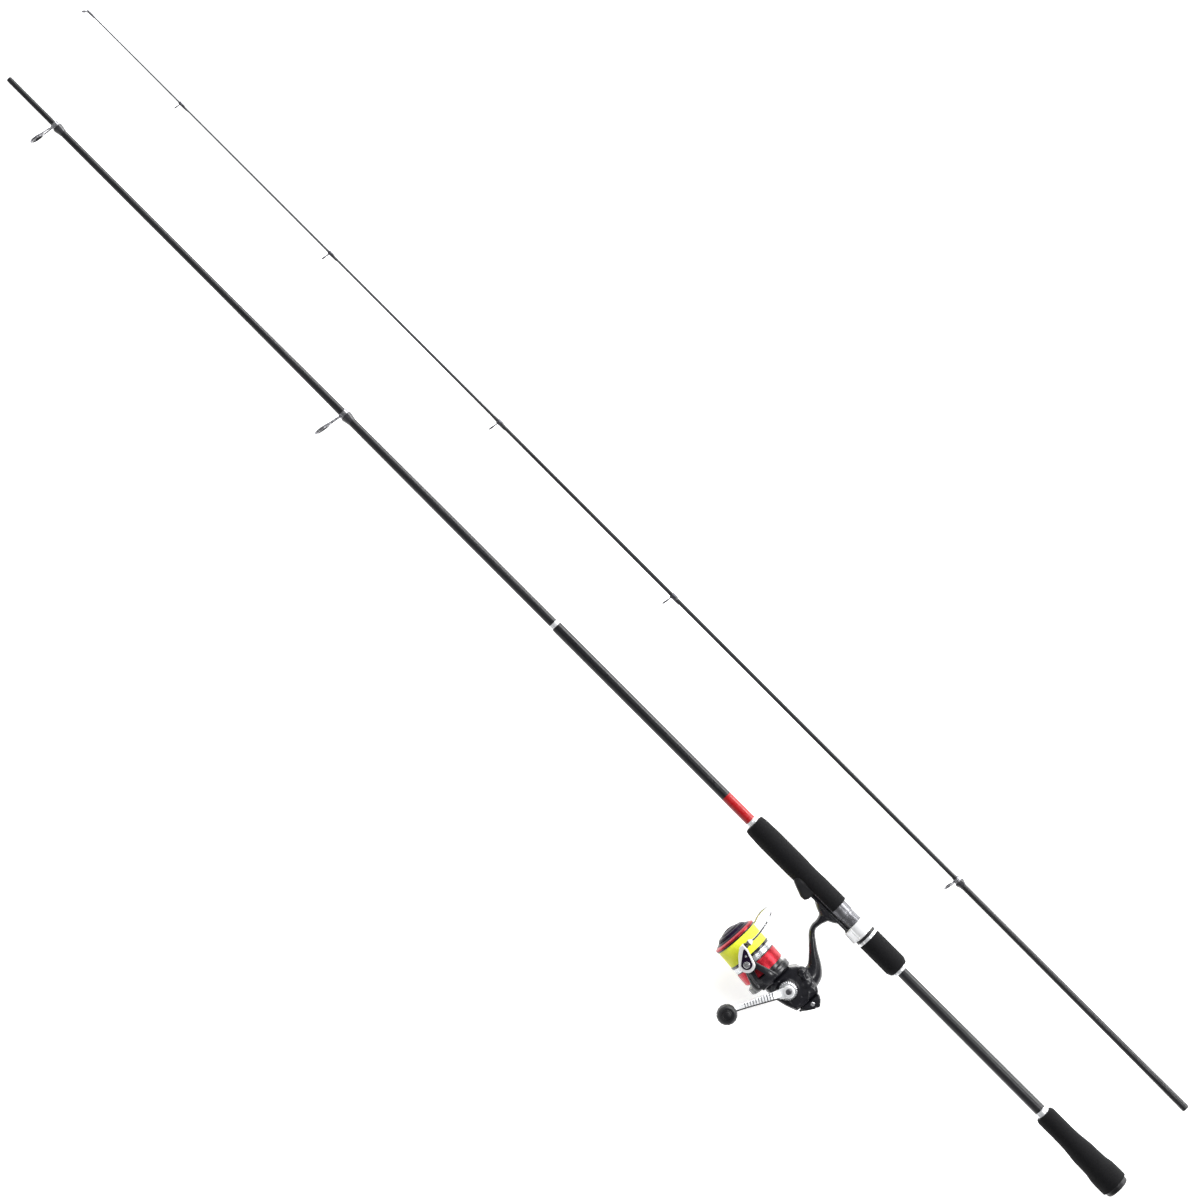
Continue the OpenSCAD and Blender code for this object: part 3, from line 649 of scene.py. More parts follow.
SPIGOT_FROM, SPIGOT_R = 1343, 2.7
SADDLE_Y = 7.6           # flat of the seat, where the reel foot rests
THREAD_PITCH = 1.5       # one turn of the lock nut moves the hood this far
NUT_BORE = 8.56          # clears the crest of the seat's thread


def butt_blank():
    _, front, _ = span("butt_blank")
    outline = [(3, 0), (3, 5.5), (99, 5.5), (275, 5.1), (276, 5.0), (464, 5.0), (464.5, 4.6),
               (709, 4.35), (830, 4.3), (960, 3.9), (985, 3.9), (1060, 3.5), (1134, 3.25),
               (SPIGOT_FROM, 3.25), (SPIGOT_FROM + 0.3, SPIGOT_R), (front - 1.2, SPIGOT_R),
               (front, 2.2), (front, 1.5), (front - 0.8, 1.3), (front - 0.8, 0)]
    piece("butt_blank_skin", lathe(outline, 0.5), ROD, "butt_section", "carbon", "butt_blank")


def blank_sleeve():
    rear, front, r = span("blank_sleeve")
    outline = [(rear, 4.5), (rear, 5.0), (front - 2, r), (front, r - 0.1), (front, 4.36)]
    piece("blank_sleeve_skin", lathe(outline, 0.4), ROD, "butt_section", "sleeve_gloss",
          "blank_sleeve")


def red_band():
    rear, front, r = span("red_band")
    groove = [(front - 2.4, r), (front - 2.2, r - 0.14), (front - 1.8, r - 0.14), (front - 1.6, r)]
    outline = [(rear, 4.6), (rear, r), *groove, (front, r - 0.05), (front, 4.6)]
    piece("red_band_skin", lathe(outline, 0.2), ROD, "butt_section", "red_lacquer", "red_band")


def grooved_ring(x0, x1, bore, r, grooves=1):
    """Trim ring with shallow grooves round it."""
    outline = [(x0, bore), (x0, r)]
    for k in range(grooves):
        x = x0 + (x1 - x0) * (k + 1) / (grooves + 1)
        outline += [(x - 0.3, r), (x - 0.12, r - 0.22), (x + 0.12, r - 0.22), (x + 0.3, r)]
    return lathe(outline + [(x1, r), (x1, bore)], 0.2)


def trim_rings():
    rings = [
        grooved_ring(460, 464, 5.0, 5.6),
        lathe([(709, 4.36), (709, 5.0), (712, 4.9), (713, 4.7), (713, 4.34)], 0.25),
        lathe([(94, 5.5), (94, 6.4), (97.6, 6.35), (99, 6.0), (99, 5.5)], 0.35),
    ]
    piece("trim_rings_skin", joined(rings), ROD, "butt_section", "silver_trim", "trim_rings")


def butt_grip():
    _, _, r = span("butt_grip")
    swell = spline([(9, r, 0), (16, r, 0), (22, 13.0, 0), (28, 11.9, 0), (36, 11.5, 0), (45, 11.3, 0),
                    (54, 10.3, 0), (61, 9.7, 0), (70, 9.5, 0), (85, 9.5, 0)], 5)
    outline = [(5, 5.5), (5, r, 0.8), *[(p.x, p.y, 0) for p in swell], (91, 9.5, 1.6), (94, 8.4, 1.0),
               (94, 5.5)]
    piece("butt_grip_foam", lathe(outline, 0.5), ROD, "butt_section", "eva_foam", "butt_grip")


def butt_cap():
    rings = []
    for r in (9.2, 7.6, 6.0):      # moulded rings on the end face
        rings += [(0.0, r + 0.3), (0.35, r + 0.1), (0.35, r - 0.5), (0.0, r - 0.7)]
    face = [(0.5, 0), (0.5, 4.4), (0.0, 4.8)] + rings[::-1]
    outline = face + [(0.0, 10.6, 0.8), (1.4, 11.6, 0.8), (2.4, 11.6), (2.7, 11.35), (3.1, 11.35),
                      (3.4, 11.6), (5, 11.6), (5, 5.6), (3, 5.6), (3, 0)]
    piece("butt_cap_rubber", lathe(outline, 0.12), ROD, "butt_section", "black_plastic", "butt_cap")


def seat_saddle(mesh, x0, x1):
    """The mesh with the flat cut along its +Y side."""
    return cut(mesh, block((x0, x1), (SADDLE_Y, 30), (-30, 30), 0.3, 0.1))


def reel_seat():
    rear, front, r = span("reel_seat")
    crest, root = 8.5, 8.15
    outline = [(rear, 5.0), (rear, root)]
    turns = int((343 - rear) / THREAD_PITCH)
    for k in range(turns):
        x = rear + 0.4 + k * THREAD_PITCH
        outline += [(x, root), (x + 0.35, crest), (x + 0.75, crest), (x + 1.1, root)]
    outline += [(344.6, root), (345.2, r), (front, r), (front, 5.0)]
    mesh = seat_saddle(lathe(outline, 0.08), rear - 1, 396)
    piece("reel_seat_skin", mesh, ROD, "butt_section", "seat_grey", "reel_seat")


def fore_grip():
    rear, front, r = span("fore_grip")
    outline = [(402, 5.0), (front, 5.0), (front, 9.5, 1.6), (456, 10.3, 6), (447, 10.75, 16),
               (440, r, 20), (406, r, 20), (393, r - 0.45, 30), (380, r, 20), (rear, r, 0.9),
               (rear, 9.0), (402, 9.0)]
    slot = placed(block((rear - 3, 399.5), (-9.5, 9.5), (4, 24), 2.5, 0.2), TO_PLUS_Y)
    piece("fore_grip_foam", cut(lathe(outline, 0.5), slot), ROD, "butt_section", "eva_foam",
          "fore_grip")


def across_rod(outline, half_width, edge=0.8):
    """Extrusion of an outline in X and Y, centred on the rod."""
    return slab(rounded(outline, 1.2), -half_width, half_width, edge)


def fixed_hood():
    barrel = lathe([(378, 8.0), (378, 10.1), (400.3, 10.1), (400.3, 8.0)], 0.4)
    bump = across_rod([(378, 4), (400, 4), (400, 10.4, 1.5), (394.5, 12.8, 4), (384.6, 16.5, 2.2),
                       (380.6, 16.2, 1.5), (378.4, 13, 1), (378, 10)], 9.2, 2.6)
    body = moulded([barrel, bump], 0.4, 4)
    pocket = block((370, 395.5), (SADDLE_Y - 0.2, 10.9), (-7.4, 7.4), 0.4, 0.2)
    piece("fixed_hood_shell", cut(body, cylinder(370, 410, 9.02), pocket), ROD, "butt_section",
          "black_plastic", "fixed_hood")


def moving_hood():
    rear, front, _ = span("moving_hood")
    barrel = lathe([(rear, 7.6), (rear, 10.9, 0.5), (rear + 1.6, 10.9), (rear + 1.9, 10.6),
                    (rear + 2.4, 10.6), (rear + 2.7, 10.85), (front, 10.55, 0.5), (front, 7.6)], 0.12)
    bump = across_rod([(rear, 5), (front, 5), (front, 12.3, 1.0), (rear + 2, 13.1, 2),
                       (rear, 12.4, 1.0)], 8.8, 2.8)
    body = moulded([barrel, bump], 0.3, 3)
    pocket = block((rear - 1, front + 5), (SADDLE_Y - 0.3, 10.9), (-7.5, 7.5), 0.4, 0.2)
    shell = cut(body, cylinder(310, 340, NUT_BORE), pocket)
    piece("moving_hood_shell", shell, ROD, "hood", "chrome", "moving_hood")


def lock_nut():
    rear, front, r = span("lock_nut")

    def knurl(a, s, q):
        return q - 0.12 * (q > 9.8 and math.cos(36 * a) > 0)

    outline = [(rear, NUT_BORE), (rear, 9.4), (317.8, 9.4), (317.8, r), (front, r),
               (front, NUT_BORE)]
    piece("lock_nut_ring", lathe(outline, 0.2, 288, knurl), ROD, "nut", "black_plastic", "lock_nut")
    grip = [(281, 9.42), (315, 9.42), (315, 10.95, 0.5), (281.5, 10.95, 2.6), (277, 9.2, 1.4),
            (277, 5.6), (281, 5.6)]
    piece("nut_grip_foam", lathe(grip, 0.2), ROD, "nut", "eva_foam", "nut_grip")
    rings = [grooved_ring(315, 317.8, 9.42, 10.8),
             lathe([(274, 5.6), (274, 7.5), (275.2, 8.4), (277, 8.4), (277, 5.6)], 0.3)]
    piece("nut_rings_skin", joined(rings), ROD, "nut", "silver_trim", "nut_rings")


def tip_blank():
    socket_end, socket_r = 60, 2.76
    outline = [(socket_end, 0), (socket_end - 1, socket_r), (0, socket_r), (0, 3.5), (0.6, 3.65),
               (7, 3.65), (46, 3.4), (120, 3.2), (240, 2.85), (291, 2.85), (296, 2.15), (430, 2.1),
               (560, 1.95), (700, 1.95), (864, 1.75), (877, 1.75), (881, 1.5), (1010, 1.25),
               (1080, 1.15), (1093, 1.15), (1270, 0.95), (1283, 0.95), (1380, 0.75), (1394, 0.75),
               (1394, 0)]
    piece("tip_blank_skin", lathe(outline, 0.2), TIP, "tip_section", "carbon/tip", "tip_blank")


# ---- guides ----

# station, blank radius, ring radius, height of the ring's centre, wrap length, wrap height
GUIDES = {
    "guide_1": (977, 3.9, 8.9, 22.7, 8, 1.5),
    "guide_2": (1341, 3.25, 7.2, 19.7, 8, 1.5),
    "guide_3": (291, 2.85, 5.35, 9.0, 6, 1.85),
    "guide_4": (652, 1.95, 3.7, 8.3, 3, 0.6),
    "guide_5": (873, 1.75, 3.3, 8.2, 3, 0.6),
    "guide_6": (1088, 1.15, 2.5, 6.9, 3, 0.6),
    "guide_7": (1278, 0.95, 1.8, 5.6, 3, 0.6),
}
LEAN = math.radians(10)
COLLAR = 2.0             # half length of a guide's collar


def guide_frame(station, blank_r, ring_r, rise):
    wall = 0.14 * ring_r + 0.25
    half = 0.1 * ring_r + 0.3
    gauge = 0.055 * ring_r + 0.28
    collar_r = blank_r * 1.1 + 0.55
    collar = lathe([(-COLLAR, blank_r), (-COLLAR, collar_r), (-0.5, collar_r), (-0.3, collar_r - 0.2),
                    (0.3, collar_r - 0.2), (0.5, collar_r), (COLLAR, collar_r), (COLLAR, blank_r)],
                   0.15)
    ring = placed(lathe([(-half, ring_r - wall), (-half, ring_r - 0.25), (-half * 0.4, ring_r),
                         (half * 0.4, ring_r), (half, ring_r - 0.25), (half, ring_r - wall)], 0.25),
                  shifted(y=rise))
    parts = [ring]
    for side in (1, -1):
        foot = (-1.2, blank_r * 0.9, side * 0.25 * ring_r)
        knee = (0.0, blank_r + 0.12 * (rise - blank_r), side * 0.42 * ring_r)
        hip = (0.0, rise - 0.62 * ring_r, side * (0.80 * ring_r))
        end = (0.0, rise - 0.1 * ring_r, side * (ring_r - gauge * 0.7))
        parts.append(wire([foot, knee, hip, end], gauge, 14, 8))
    web_y = rise - ring_r + wall * 0.4
    brace = [(0, web_y, z * ring_r * 0.62) for z in (-1, -0.5, 0, 0.5, 1)]
    parts.append(wire(brace, gauge * 0.8, 12, 4))
    leaning = placed(joined(parts), Matrix.Rotation(-LEAN, 4, "Z"))
    foot_strip = sweep([(x, blank_r + 0.12, 0) for x in (-9, -7, -4, -1.5)],
                       [(0.5, 0.2), (0.9, 0.35), (1.1, 0.45), (1.1, 0.5)], 16, flat=(0, 1, 0))
    return placed(joined([collar, leaning, foot_strip]), shifted(x=station))


def guide_ring(station, ring_r, rise):
    outer = 0.86 * ring_r - 0.25
    inner = outer - 0.1 * ring_r - 0.15
    w = (0.1 * ring_r + 0.3) * 1.15
    ring = lathe([(-w, inner + 0.12), (-w, outer), (w, outer), (w, inner + 0.12), (w * 0.5, inner),
                  (-w * 0.5, inner)], 0.2)
    return placed(ring, shifted(x=station) @ Matrix.Rotation(-LEAN, 4, "Z") @ shifted(y=rise))


def guide_wrap(station, blank_r, length, height):
    front = station - COLLAR
    outline = [(front - length, blank_r), (front - length + 0.1, blank_r + 0.2 * height),
               (front - 0.75 * length, blank_r + 0.45 * height),
               (front - 0.3 * length, blank_r + height),
               (front, blank_r + height), (front, blank_r)]
    return lathe(outline, 0.6)


def guides():
    rings, wraps, rear_wraps = [], [], []
    for name, (station, blank_r, ring_r, rise, length, height) in GUIDES.items():
        on_tip = name not in ("guide_1", "guide_2")
        place, body = (TIP, "tip_section") if on_tip else (ROD, "butt_section")
        finish = "guide_steel" if blank_r > 2 else "guide_steel/dark"
        piece(name + "_frame_wire", guide_frame(station, blank_r, ring_r, rise), place, body, finish,
              name + "_frame")
        ring = guide_ring(station, ring_r, rise)
        wrap = guide_wrap(station, blank_r, length, height)
        if on_tip:
            rings.append(ring)
            wraps.append(wrap)
        else:
            piece(name + "_ceramic", ring, place, body, "guide_ceramic", name + "_ring")
            rear_wraps.append(wrap)
    piece("tip_ring_ceramics", joined(rings), TIP, "tip_section", "guide_ceramic",
          "tip_guide_rings")
    piece("tip_wrap_threads", joined(wraps), TIP, "tip_section", "thread_wrap", "tip_wraps")
    piece("butt_wrap_threads", joined(rear_wraps), ROD, "butt_section", "thread_wrap", "butt_wraps")


def tip_top():
    tube = lathe([(1394.1, 0), (1394.1, 0.76), (1388, 0.76), (1388, 1.15), (1389, 1.2),
                  (1395.6, 1.2), (1397, 0.7), (1397, 0)], 0.15, 48)
    turn = shifted(1398, 2.6) @ Matrix.Rotation(math.radians(-35), 4, "Z")
    ring = placed(lathe([(-0.6, 1.9), (-0.6, 2.5), (-0.3, 2.7), (0.3, 2.7), (0.6, 2.5), (0.6, 1.9),
                         (0.3, 1.8), (-0.3, 1.8)], 0.15, 64), turn)
    legs = []
    for side in (1, -1):
        legs.append(wire([(1392, 1.0, side * 0.5), (1395, 1.1, side * 1.0),
                          (1397.6, 1.8, side * 1.9), (1398.2, 2.6, side * 2.3)], 0.34, 12))
    piece("tip_top_loop", joined([tube, ring, *legs]), TIP, "tip_section", "guide_steel", "tip_top")


for build in (butt_blank, blank_sleeve, red_band, trim_rings, butt_grip, butt_cap, reel_seat,
              fore_grip, fixed_hood, moving_hood, lock_nut, tip_blank, guides, tip_top):
    build()


# ---- reel: body, covers and small fixed pieces ----

CASE = [(14, 9.8, 1), (1, 9.2, 8), (-10, 5.8, 12), (-19.5, 2.6, 4), (-25, -6, 14),
        (-30.8, -15.8, 1.6), (-30.4, -17.6, 1.6), (-26.5, -21.5, 6), (-15, -27, 8), (-2, -28.5, 10),
        (9, -26, 5), (14, -19, 4)]
CASE_TOP, CASE_LOW, COVER_T = 13.0, -11.2, 2.0
GUARD_X = -20.5                      # seam between the case and its rear guard
SEAM = 0.12                          # half the width of that seam
CRANK_AT = shifted(y=-5)             # the crank's axis beside the rotor's
COVER_SCREWS = [(7.6, 5.8), (9.4, -17.4), (-19.4, -15.6)]
GUARD_SCREW = (-24.3, -13.4)
LEVER_AT = (3.4, -24.6)              # pivot of the anti-reverse lever


def clipped(outline, x, front, soft=3.2):
    """The part of the outline in front of station x, or behind it, with its new corners rounded."""
    sign = 1 if front else -1
    kept, corners = [], []
    for a, b in zip(outline, outline[1:] + outline[:1]):
        da, db = sign * (a.x - x), sign * (b.x - x)
        if da >= 0:
            kept.append(a)
        if da * db < 0:
            corners.append(a.lerp(b, da / (da - db)))
            kept.append(corners[-1])
    out = []
    for p in kept:
        gap = min((p - c).length for c in corners)
        if gap < 1e-6 or gap > soft:
            out.append((p.x, p.y, 2.0 if gap < 1e-6 else 0))
    return rounded(out, 0)


def case_half(front, z0, z1, shrink, edge, crown=0.0):
    """Front or rear part of the case outline as a rounded slab."""
    outline = inset(rounded(CASE, 3, steps=6), shrink)
    x = GUARD_X + (SEAM if front else -SEAM)
    return slab(clipped(outline, x, front), z0, z1, edge, crown)


def stem():
    """Oval leg from the foot to the case, along a bent line."""
    spine = [(23.6, -73, 0), (25.2, -66, 0), (26.0, -60.5, 0), (23.2, -55.0, 0), (16.6, -49.6, 0),
             (8.0, -43.4, 0), (-0.5, -37.2, 0), (-5.0, -30.5, 0), (-6.0, -23.0, 0)]
    half_w = [2.9, 2.55, 2.55, 2.9, 3.3, 4.4, 6.4, 9.6, 11.5]
    depth = [5.6, 4.9, 4.6, 4.6, 4.8, 5.4, 6.6, 8.6, 10.4]
    path = spline(spine, 6)
    sizes = spline([(w, d, 0) for w, d in zip(half_w, depth)], 6)
    return sweep(path, [(s.x, s.y) for s in sizes], 36, flat=(0, 0, 1))


def foot():
    """Foot plate on the seat, with the pedestal that the stem grows from."""
    sole = mirrored([(321, -4.6, 4), (334, -6.9, 8), (350, -7.1), (366, -7.1), (381, -6.9, 8),
                     (395, -4.2, 4)])
    plate = placed(slab(rounded(sole, 3), 0, 2.5, 0.7), shifted(y=SADDLE_Y) @ TO_PLUS_Y)
    crest = spline([(345, 8.6, 0), (351, 10.6, 0), (358, 12.0, 0), (365, 10.6, 0), (372, 8.6, 0)], 6)
    hump = sweep(crest, [(6.4, 2.2 + 2.0 * math.sin(math.pi * k / 24)) for k in range(25)], 32,
                 flat=(0, 1, 0))
    neck = sweep(spline([(357.2, 9.5, 0), (357.2, 15, 0), (357.0, 20.5, 0), (357.4, 26, 0)], 6),
                 [(q.x, q.y) for q in spline([(9.0, 6.2, 0), (5.0, 5.6, 0), (3.2, 5.2, 0),
                                              (2.8, 5.0, 0)], 6)], 32, flat=(0, 0, 1))
    return [plate, hump, neck]


def reel_body():
    """Case, collar round the pinion, crank boss, stem and foot, cast in one."""
    to_reel = REEL.inverted()
    case = case_half(True, CASE_LOW, CASE_TOP - 0.7, 0.0, 3.4, 0.9)
    collar = lathe([(8, 0), (8, 10.6), (12.2, 10.6, 1), (13.0, 10.1), (15.9, 10.1, 0.5), (15.9, 0)], 0.4)
    boss = upright([(8, 0), (8, 9.6), (14.4, 9.3, 1.0), (15.9, 8.4, 0.5), (15.9, 0)], 0.4, CRANK_AT)
    shoulder = upright([(6, 0), (6, 5.8), (11.8, 5.6, 3), (13.6, 3.6, 2.5), (14.3, 1.2, 3), (14.3, 0)],
                       0.6, shifted(-7.0, -21.0))
    lever_seat = upright([(2, 0), (2, 5.2), (11.4, 5.0, 1.6), (12.9, 3.6, 0.6), (12.9, 0)], 0.6,
                         shifted(*LEVER_AT))
    rib = wire([(-15.5, 1.5, 11.6), (-19.0, -6.0, 12.2), (-18.6, -13.0, 12.3), (-14.0, -18.0, 12.0)],
               (1.4, 1.1), 20, 8)
    parts = [case, collar, boss, shoulder, lever_seat, rib, stem()]
    parts += [placed(part, to_reel) for part in foot()]
    body = moulded(parts, 0.5, 4)
    hub_recess = placed(cylinder(14.9, 18, 6.2), CRANK_AT @ STAND)
    seam = lathe([(12.45, 9.3), (12.45, 11.4), (12.75, 11.4), (12.75, 9.3)], 0)
    piece("reel_body_casting", cut(body, hub_recess, seam), REEL, "butt_section", "reel_black",
          "reel_body")


def side_cover():
    lid = case_half(True, CASE_LOW - COVER_T + 0.4, CASE_LOW - 0.1, 0.15, 0.7)
    dome = case_half(True, CASE_LOW - COVER_T - 0.05, CASE_LOW - 0.6, 2.6, 0.7)
    boss = placed(lathe([(9.5, 0), (9.5, 9.6), (13.4, 9.2, 0.8), (15.6, 8.5, 0.6), (15.6, 0)], 0.4),
                  CRANK_AT @ HANG)
    shell = moulded([lid, dome, boss], 0.4, 3)
    holes = [placed(cylinder(10, 20, 2.0), shifted(*at) @ HANG) for at in COVER_SCREWS]
    recess = placed(cylinder(14.6, 18, 6.6), CRANK_AT @ HANG)
    hole_floors = [placed(cylinder(11.4, 12.2, 2.2, 0.05), shifted(*at) @ HANG) for at in COVER_SCREWS]
    piece("side_cover_shell", joined([cut(shell, recess, *holes), *hole_floors]), REEL,
          "butt_section", "reel_black", "side_cover")


def rear_guard():
    guard = case_half(False, CASE_LOW - COVER_T + 0.1, CASE_TOP - 0.8, 0.0, 2.0, 0.5)
    fin = wire([(-21.5, -0.5, 9.0), (-25.2, -6.8, 10.4), (-28.6, -13.0, 10.4)], (1.2, 1.0), 18, 8)
    shell = moulded([guard, fin], 0.4, 3)
    hole = placed(cylinder(12.2, 20, 2.4), shifted(*GUARD_SCREW) @ STAND)
    piece("rear_guard_shell", cut(shell, hole), REEL, "butt_section", "reel_black", "rear_guard")


def screw_head(r, height=0.9):
    """Pan head with a cross recess."""
    head = upright([(-2.5, 0), (-2.5, 0.9), (0, 0.9), (0, r, 0.1), (height * 0.5, r, 0.3),
                    (height, r * 0.72, 0.4), (height, 0)], 0.1, around=48)
    slot = block((-r * 0.55, r * 0.55), (-0.2, 0.2), (height * 0.35, height + 1), 0.05, 0.02)
    return cut(head, slot, placed(slot.copy(), Matrix.Rotation(math.pi / 2, 4, "Z")))


def cover_screws():
    heads = [placed(screw_head(1.7), shifted(x, y, CASE_LOW - COVER_T + 0.5) @ HALF_TURN)
             for x, y in COVER_SCREWS]
    heads.append(placed(screw_head(1.9), shifted(*GUARD_SCREW, 12.4)))
    piece("cover_screw_heads", joined(heads), REEL, "butt_section", "steel", "cover_screws")


def anti_reverse_lever():
    turn = Matrix.Rotation(math.radians(160), 4, "Z")
    hub = upright([(13.1, 0), (13.1, 3.3, 0.2), (14.3, 3.3, 0.8), (15.2, 2.2, 1.2), (15.5, 0.8, 2),
                   (15.5, 0)], 0.3)
    tongue = mirrored([(0, -1.7), (5.2, -1.4), (7.0, -1.9, 1)])
    paddle = placed(slab(rounded(tongue, 1), 13.2, 15.1, 0.6), turn)
    ridges = [placed(block((x, x + 0.45), (-1.4, 1.4), (14.9, 15.5), 0.15, 0.15), turn)
              for x in (4.2, 5.1, 6.0)]
    pin = placed(cylinder(4.6, 13.2, 1.2, 0.1, 32), STAND)
    piece("anti_reverse_switch", joined([moulded([hub, paddle, *ridges], 0.22, 2), pin]),
          REEL @ shifted(*LEVER_AT), "lever", "reel_black", "anti_reverse_lever")


# ---- crank ----

ARM_L = (pos("knob_spin") - pos("crank_turn")).length / MM
NOTCHES, NOTCH_PITCH = 11, 2.6


def handle_collar():
    def knurl(a, s, q):
        return q + (0.5 * math.cos(24 * a) if q > 7.4 and 17 < s < 22.2 else 0)

    outline = [(16.4, 2.6), (16.4, 7.6), (17, 7.9), (17.2, 7.9), (19, 7.9), (20.5, 7.9), (22, 7.9),
               (22.3, 7.4), (22.9, 6.6), (22.9, 2.6)]
    collar = upright(outline, 0.12, around=240, warp=knurl)
    piece("handle_collar_knurled", collar, ARM, "crank", "silver_anodised", "handle_collar")


def handle_cap():
    outline = [(19.3, 0), (19.3, 2.56), (16.4, 2.56), (16.4, 6.3), (19.5, 6.3, 0.5), (20.4, 5.2, 0.4),
               (20.4, 3.2, 0.2), (19.9, 2.8, 0.2), (19.9, 0)]
    cap = placed(upright(outline, 0.2), HALF_TURN)
    piece("handle_cap_turned", cap, HUB, "crank", "silver_anodised", "handle_cap")


def height_at(path, x):
    """Height of a path at a distance along X."""
    for a, b in zip(path, path[1:]):
        if a.x <= x <= b.x:
            return a.z + (b.z - a.z) * (x - a.x) / (b.x - a.x)
    return path[-1].z


def squared_bar(path, sizes):
    """Bar with a squarish section along a path in the XZ plane."""
    rings = []
    for i, (p, size) in enumerate(zip(path, sizes)):
        along = (path[min(i + 1, len(path) - 1)] - path[max(i - 1, 0)]).normalized()
        up = Vector((0, 1, 0)).cross(along) * -1
        ring = []
        for k in range(40):
            a = math.tau * k / 40
            c = math.copysign(abs(math.cos(a)) ** 0.4, math.cos(a))
            s = math.copysign(abs(math.sin(a)) ** 0.4, math.sin(a))
            ring.append(p + Vector((0, 1, 0)) * size.x * c + up * size.y * s)
        rings.append(ring)
    return skin(rings)


def handle_arm():
    """Forged arm with a flat bright top, a dark line along one side, and notches across it whose dark inside is
    painted shade.
    """
    spine = [(0, 0, 28.4), (6, 0, 28.8), (13, 0, 30.6), (24, 0, 35.0), (38, 0, 41.2),
             (ARM_L - 9, 0, 46.2), (ARM_L - 4, 0, 47.4), (ARM_L + 3, 0, 47.4)]
    across = [5.0, 4.5, 3.9, 3.3, 2.7, 2.5, 3.2, 3.6]
    thick = [2.3, 2.3, 2.2, 2.0, 1.7, 1.4, 1.35, 1.3]
    sizes = spline([(a, t, 0) for a, t in zip(across, thick)], 6)
    path = spline(spine, 6)
    bar = squared_bar(path, sizes)
    hub = upright([(23.4, 0), (23.4, 5.2, 0.3), (25.2, 5.6), (30.2, 5.6, 0.9), (31.2, 4.6, 0.4),
                   (31.2, 0)], 0.3)
    eye = upright([(46.1, 0), (46.1, 5.2, 0.4), (48.6, 5.2, 0.5), (48.6, 0)], 0.3, shifted(ARM_L))
    arm = moulded([bar, hub, eye], 0.3, 3)
    bore = placed(cylinder(20, 29.4, 2.54), STAND)
    dimple = placed(cylinder(30.6, 33, 3.0, 0.1), STAND)
    crest = [p + UP * s.y for p, s in zip(path, sizes)]
    side = [Vector((p.x, 0, s.x)) for p, s in zip(path, sizes)]
    # the dark strips set in the notches are painted shade in the recesses
    notches, paint = [], []
    for k in range(NOTCHES):
        x = 14.5 + NOTCH_PITCH * k
        reach = 0.96 * height_at(side, x)
        bottom = shifted(x, 0, height_at(crest, x) - 0.65)
        notches.append(placed(block((-0.45, 0.45), (-8, 8), (0, 2.5), 0.1, 0.05), bottom))
        paint.append(placed(block((-0.3, 0.3), (-reach, reach), (-0.2, 0.15), 0.1, 0.05), bottom))
    post = upright([(47.5, 0), (47.5, 2.6), (48.9, 2.6), (48.9, 1.88), (76, 1.88), (76, 0)], 0.1,
                   shifted(ARM_L), 48)
    piece("handle_arm_forging", joined([cut(arm, bore, dimple, *notches), post]), ARM, "crank",
          "chrome/arm", "handle_arm")
    piece("handle_arm_notch_painted_shade", joined(paint), ARM, "crank", "steel/dark")
    screw = placed(screw_head(2.6, 0.9), shifted(z=30.5))
    piece("handle_arm_screw", screw, ARM, "crank", "steel/dark")
    stretch = list(zip(path, sizes))[9:35]
    line = [(p.x, s.x * 0.80, p.z + s.y * 0.86) for p, s in stretch]
    strip = sweep(line, [(0.75, 0.42)] * len(line), 16, flat=(0, 0, 1))
    piece("handle_arm_edge_line", strip, ARM, "crank", "black_plastic")


def handle_knob():
    def grooves(a, s, q):
        return q - (0.35 * max(0.0, math.cos(16 * a)) ** 4 if q > 8.6 and 67 < s < 74 else 0)

    bore = 1.97
    outline = [(49.3, bore), (49.3, 6.3, 0.5), (50.6, 6.6, 0.5), (56, 5.5, 5), (62, 6.5, 5),
               (68.6, 9.2, 2), (70.5, 9.2), (72, 9.2, 1.5), (75.8, 8.2, 1.2), (77.5, 6.6, 0.5),
               (77.5, 4.9, 0.3), (76.4, 4.9), (76.4, bore)]
    knob = upright(outline, 0.3, around=256, warp=grooves)
    place = Matrix.Translation(pos("knob_spin"))
    piece("handle_knob_rubber", knob, place, "knob", "knob_rubber", "handle_knob")
    cap = upright([(76.5, 0), (76.5, 4.75), (77.6, 4.75, 0.3), (78.0, 4.0, 0.2), (77.8, 3.6),
                   (77.8, 3.3), (78.1, 3.0, 0.2), (78.5, 1.2, 1), (78.5, 0)], 0.15)
    piece("knob_cap_turned", cap, place, "knob", "black_plastic", "knob_cap")


for build in (reel_body, side_cover, rear_guard, cover_screws, anti_reverse_lever, handle_collar,
              handle_cap, handle_arm, handle_knob):
    build()


# ---- rotor and bail, in the rotor's frame: X along the shaft, Z along the bail's pivot ----

PIVOT_X = (pos("bail_flip") - pos("rotor_spin")).length / MM
ROLLER_X, ROLLER_Z = 55.4, 24.9


def curved_plate(stations, around=40):
    """Arm that hugs the spool: each station is (x, half width, inner radius, outer radius)."""
    rings = []
    for x, half_w, r_in, r_out in stations:
        mid, half_t = (r_in + r_out) / 2, (r_out - r_in) / 2
        ring = []
        for k in range(around):
            a = math.tau * k / around
            c, s = math.cos(a), math.sin(a)
            side = math.copysign(abs(c) ** 0.45, c) * half_w / mid
            r = mid + math.copysign(abs(s) ** 0.6, s) * half_t
            ring.append((x, r * math.sin(side), r * math.cos(side)))
        rings.append(ring)
    return skin(rings)


